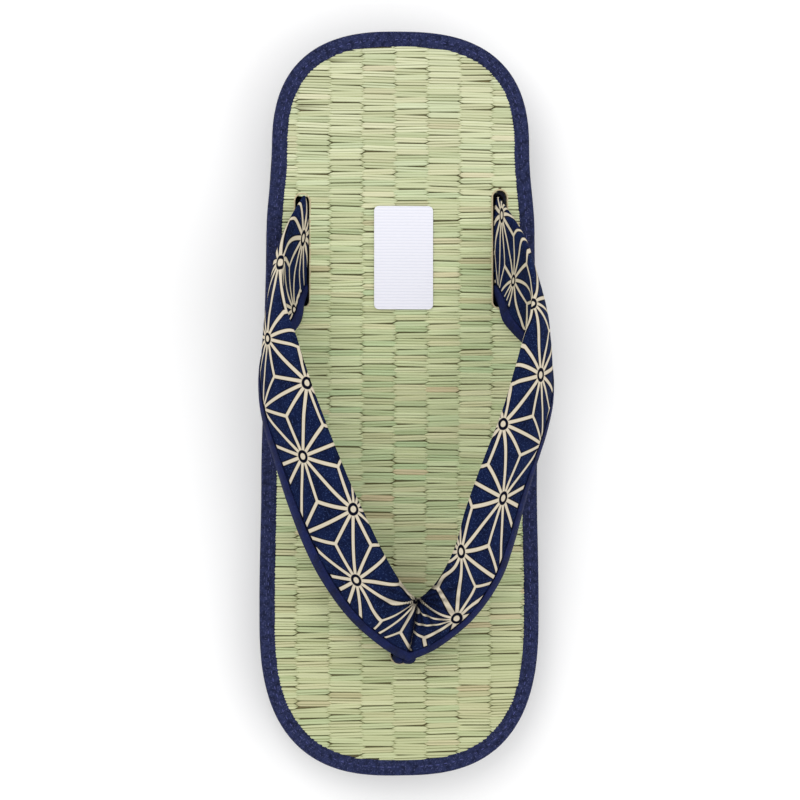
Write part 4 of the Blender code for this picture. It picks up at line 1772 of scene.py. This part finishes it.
    def band(self) -> bpy.types.Object:
        """The padded band of both straps.

        Returns:
            The band.
        """
        self.crotch = self.surface(float(len(self.rows) - 1), 0.0, 1.0, 0.0, 1)
        split = 1 - self.binding / self.width
        half = self.around // 2
        shares = [split * (0.5 - 0.5 * math.cos(math.pi * (step / half) ** 0.9)) for step in range(half + 1)]
        shares[0], shares[-1] = 0.0, split
        path = [(share, 1) for share in shares] + [(share, -1) for share in reversed(shares[1:])]
        points, places, fold_shades = [], [], []
        order = self.both_straps()
        for side, at in order:
            along = self.facing(at)
            across = self.station(at)["hem"] - self.station(at)["ridge"]
            out = along.cross(across).normalized()
            out = Vector((side * out.x, out.y, out.z))
            begin, finish = self.right_blend if side > 0 else self.left_blend
            join = smooth_step(0.0, 1.0, (at - begin) / (finish - begin))
            for share, face in path:
                point = self.surface(at, share, face, 0.0, side)
                place = Vector(self.printed(at, share, face, side))
                near = join * (1.0 if face > 0 else max(0.0, 1 - share / self.inner_fade))
                if near > 0:
                    place = place.lerp(Vector(self.gathered(point, side)), near)
                point, depth = self.settle(point, face * out, at, share, face, side)
                points.append(point)
                places.append((place.x, place.y))
                fold_shades.append(depth)
        around = len(path)
        for end in (0, len(order) - 1):
            sunk = [points[end * around + step] - Vector((0.0, 0.0, self.tail)) for step in range(around)]
            if end == 0:
                points = sunk + points
                places = places[:around] + places
                fold_shades = fold_shades[:around] + fold_shades
            else:
                points += sunk
                places += places[-around:]
                fold_shades += fold_shades[-around:]
        faces = tube_faces(len(order) + 2, around)
        obj = closed_piece("strap_band", points, faces, self.cloth.build(self.effects), 70.0, places)
        plain = [
            smooth_step(0.0, 1.0, (share - split + self.plain_strip) / self.plain_fade) for share, _ in path
        ]
        put_marks(obj, {"pleat": fold_shades, "plain": plain * (len(order) + 2)})
        return obj

    def hem(self) -> bpy.types.Object:
        """The plain cloth bound over the hem, a little fuller than the band's edge.

        Returns:
            The binding.
        """
        start = 1 - self.binding / self.width + self.hem_gap
        steps = self.hem_steps
        shares = [start + (1 - start) * math.sin(math.pi / 2 * step / steps) for step in range(steps + 1)]
        path = [(share, 1) for share in shares] + [(share, -1) for share in reversed(shares[:-1])]
        order = self.both_straps()
        points, places = [], []
        run, before = 0.0, None
        for side, at in order:
            here = self.surface(at, 1.0, 0.0, 0.0, side)
            run += (here - before).length if before else 0.0
            before = here
            for number, (share, face) in enumerate(path):
                on = (share - start) / (1 - start)
                edge = 1 - on**3
                proud = self.hem_proud * (0.35 + 0.65 * math.sin(math.pi * min(1.0, on + 0.12)))
                point = self.surface(at, min(share, 0.9995), face, proud * edge, side)
                ripple = 0.0001 * noise.noise(Vector((point.x * 240, point.y * 240, point.z * 240)))
                points.append(point + Vector((0.0, 0.0, ripple)))
                places.append((number * 0.0006, run))
        around = len(path)
        tail = Vector((0.0, 0.0, self.tail))
        first = [point - tail for point in points[:around]]
        last = [point - tail for point in points[-around:]]
        points = first + points + last
        places = places[:around] + places + places[-around:]
        faces = tube_faces(len(order) + 2, around)
        material = self.binding_cloth.build(self.effects)
        return closed_piece("strap_binding", points, faces, material, 60.0, places)

    def post(self) -> bpy.types.Object:
        """The gathered cloth below the join, which goes down into the toe slot.

        Returns:
            The toe post.
        """
        middle = (self.post_back + self.post_front) / 2
        length = self.post_back - self.post_front
        rings, around = self.post_rings, self.post_around
        points, places = [], []
        top = len(self.rows) - 1.0
        for ring in range(rings):
            share = ring / (rings - 1)
            for step in range(around):
                angle = 2 * math.pi * step / around
                x = math.copysign(abs(math.cos(angle)) ** self.post_square, math.cos(angle))
                x *= self.post_width / 2
                y = math.copysign(abs(math.sin(angle)) ** self.post_square, math.sin(angle))
                fold = 1 + 0.10 * math.cos(9 * angle + 3 * share) + 0.06 * math.cos(17 * angle)
                reach = (length / 2) * (1 + (self.post_lobe if y < 0 else 0.0) * (1 - share) ** 2 * abs(y))
                place = Vector((x * fold, middle + y * reach, 0.0))
                on = min(1.0, max(0.0, (self.post_back - place.y) / (length + 0.004)))
                roof = self.surface(top, 0.05 + 0.85 * on, -1.0, 0.0, 1)
                floor = PLAN.mat_top(place.y) - self.tail
                height = floor + (roof.z + 0.0010 - floor) * share
                lean = roof.x * max(0.0, share - 0.4) / 0.6
                skew = self.post_skew * (1 - share) * max(0.0, -y)
                points.append(Vector((place.x + lean - skew, place.y, height)))
                places.append((step * 0.0011, ring * 0.0016))
        material = self.binding_cloth.build(self.effects)
        return closed_piece("toe_post", points, tube_faces(rings, around), material, 70.0, places)

    def ends(self) -> bpy.types.Object:
        """The two folded ends of the binding at the tip, which go down into the toe slot.

        Returns:
            The ends, as one piece.
        """
        lobes = []
        for x, y, wide, long, low, high in self.tip_folds:
            bpy.ops.object.select_all(action="DESELECT")
            place = (x, y, PLAN.mat_top(y) + (low + high) / 2)
            bpy.ops.mesh.primitive_uv_sphere_add(segments=28, ring_count=18, radius=1.0, location=place)
            lobe = bpy.context.object
            lobe.scale = (wide, long, (high - low) / 2)
            bpy.ops.object.transform_apply(location=True, rotation=False, scale=True)
            for vertex in lobe.data.vertices:
                fold = noise.noise(Vector((vertex.co.x * 420, vertex.co.y * 420, vertex.co.z * 90)))
                vertex.co.x += 0.0003 * fold
                vertex.co.y += 0.0003 * fold
            lobes.append(lobe)
        select_only(lobes[0])
        for lobe in lobes:
            lobe.select_set(True)
        bpy.ops.object.join()
        obj = bpy.context.object
        obj.name = "binding_ends"
        for layer in list(obj.data.uv_layers):
            obj.data.uv_layers.remove(layer)
        put_uv(obj, "cloth", [(vertex.co.x + vertex.co.z, vertex.co.y) for vertex in obj.data.vertices])
        shade(obj, 70.0)
        obj.data.materials.append(self.binding_cloth.build(self.effects))
        return obj

    def build(self, effects: Effects) -> None:
        """Makes the band, its bound hem and the toe post.

        Args:
            effects: the shared node groups.
        """
        self.effects = effects
        band = self.band()
        hand_over(band, Slot.CLOTH, Layer.STRAPS)
        hand_over(self.hem(), Slot.BINDING, Layer.BINDING)
        hand_over(self.post(), Slot.CLOTH, Layer.STRAPS)
        hand_over(self.ends(), Slot.BINDING, Layer.BINDING)


@dataclass
class Sole:
    """The sponge and the rubber below the mat, which keep their CAD shapes."""

    sponge: FoamFinish = field(
        default_factory=lambda: FoamFinish("sponge", (0.018, 0.021, 0.050), roughness=0.82, sheen=0.05)
    )
    rubber: FoamFinish = field(
        default_factory=lambda: FoamFinish(
            "outsole_rubber", (0.018, 0.018, 0.024), roughness=0.7, pore=0.0005, depth=0.00006,
        )
    )

    def build(self) -> None:
        """Gives both nodes their finishes."""
        for layer, finish, slot in (
            (Layer.MIDSOLE, self.sponge, Slot.SPONGE), (Layer.OUTSOLE, self.rubber, Slot.OUTSOLE),
        ):
            dress_node(layer, finish.build())


@dataclass
class Label:
    """The bare ribbed label on the heel."""

    finish: LabelFinish = field(
        default_factory=lambda: LabelFinish("label", (0.80, 0.80, 0.87), roughness=0.42, specular=0.4)
    )

    def build(self) -> None:
        """Gives the label its finish."""
        dress_node(Layer.LABEL, self.finish.build())


def dress_node(layer: Layer, material: bpy.types.Material) -> None:
    """Puts a finish on a CAD node that keeps its shape.

    Args:
        layer: the node.
        material: its finish.
    """
    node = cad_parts[layer.value]
    for place in node.material_slots:
        place.material = material
    LOG.info("%s: dressed", layer.value)


def main() -> None:
    """Builds the studio and every piece in order."""
    logging.basicConfig(level=logging.INFO, format="%(message)s")
    bpy.ops.object.select_all(action="DESELECT")
    effects = Effects.build()
    Studio().build()
    Sole().build()
    RushMat().build()
    EdgeTape().build(effects)
    Straps().build(effects)
    Label().build()


if __name__ == "__main__":
    main()
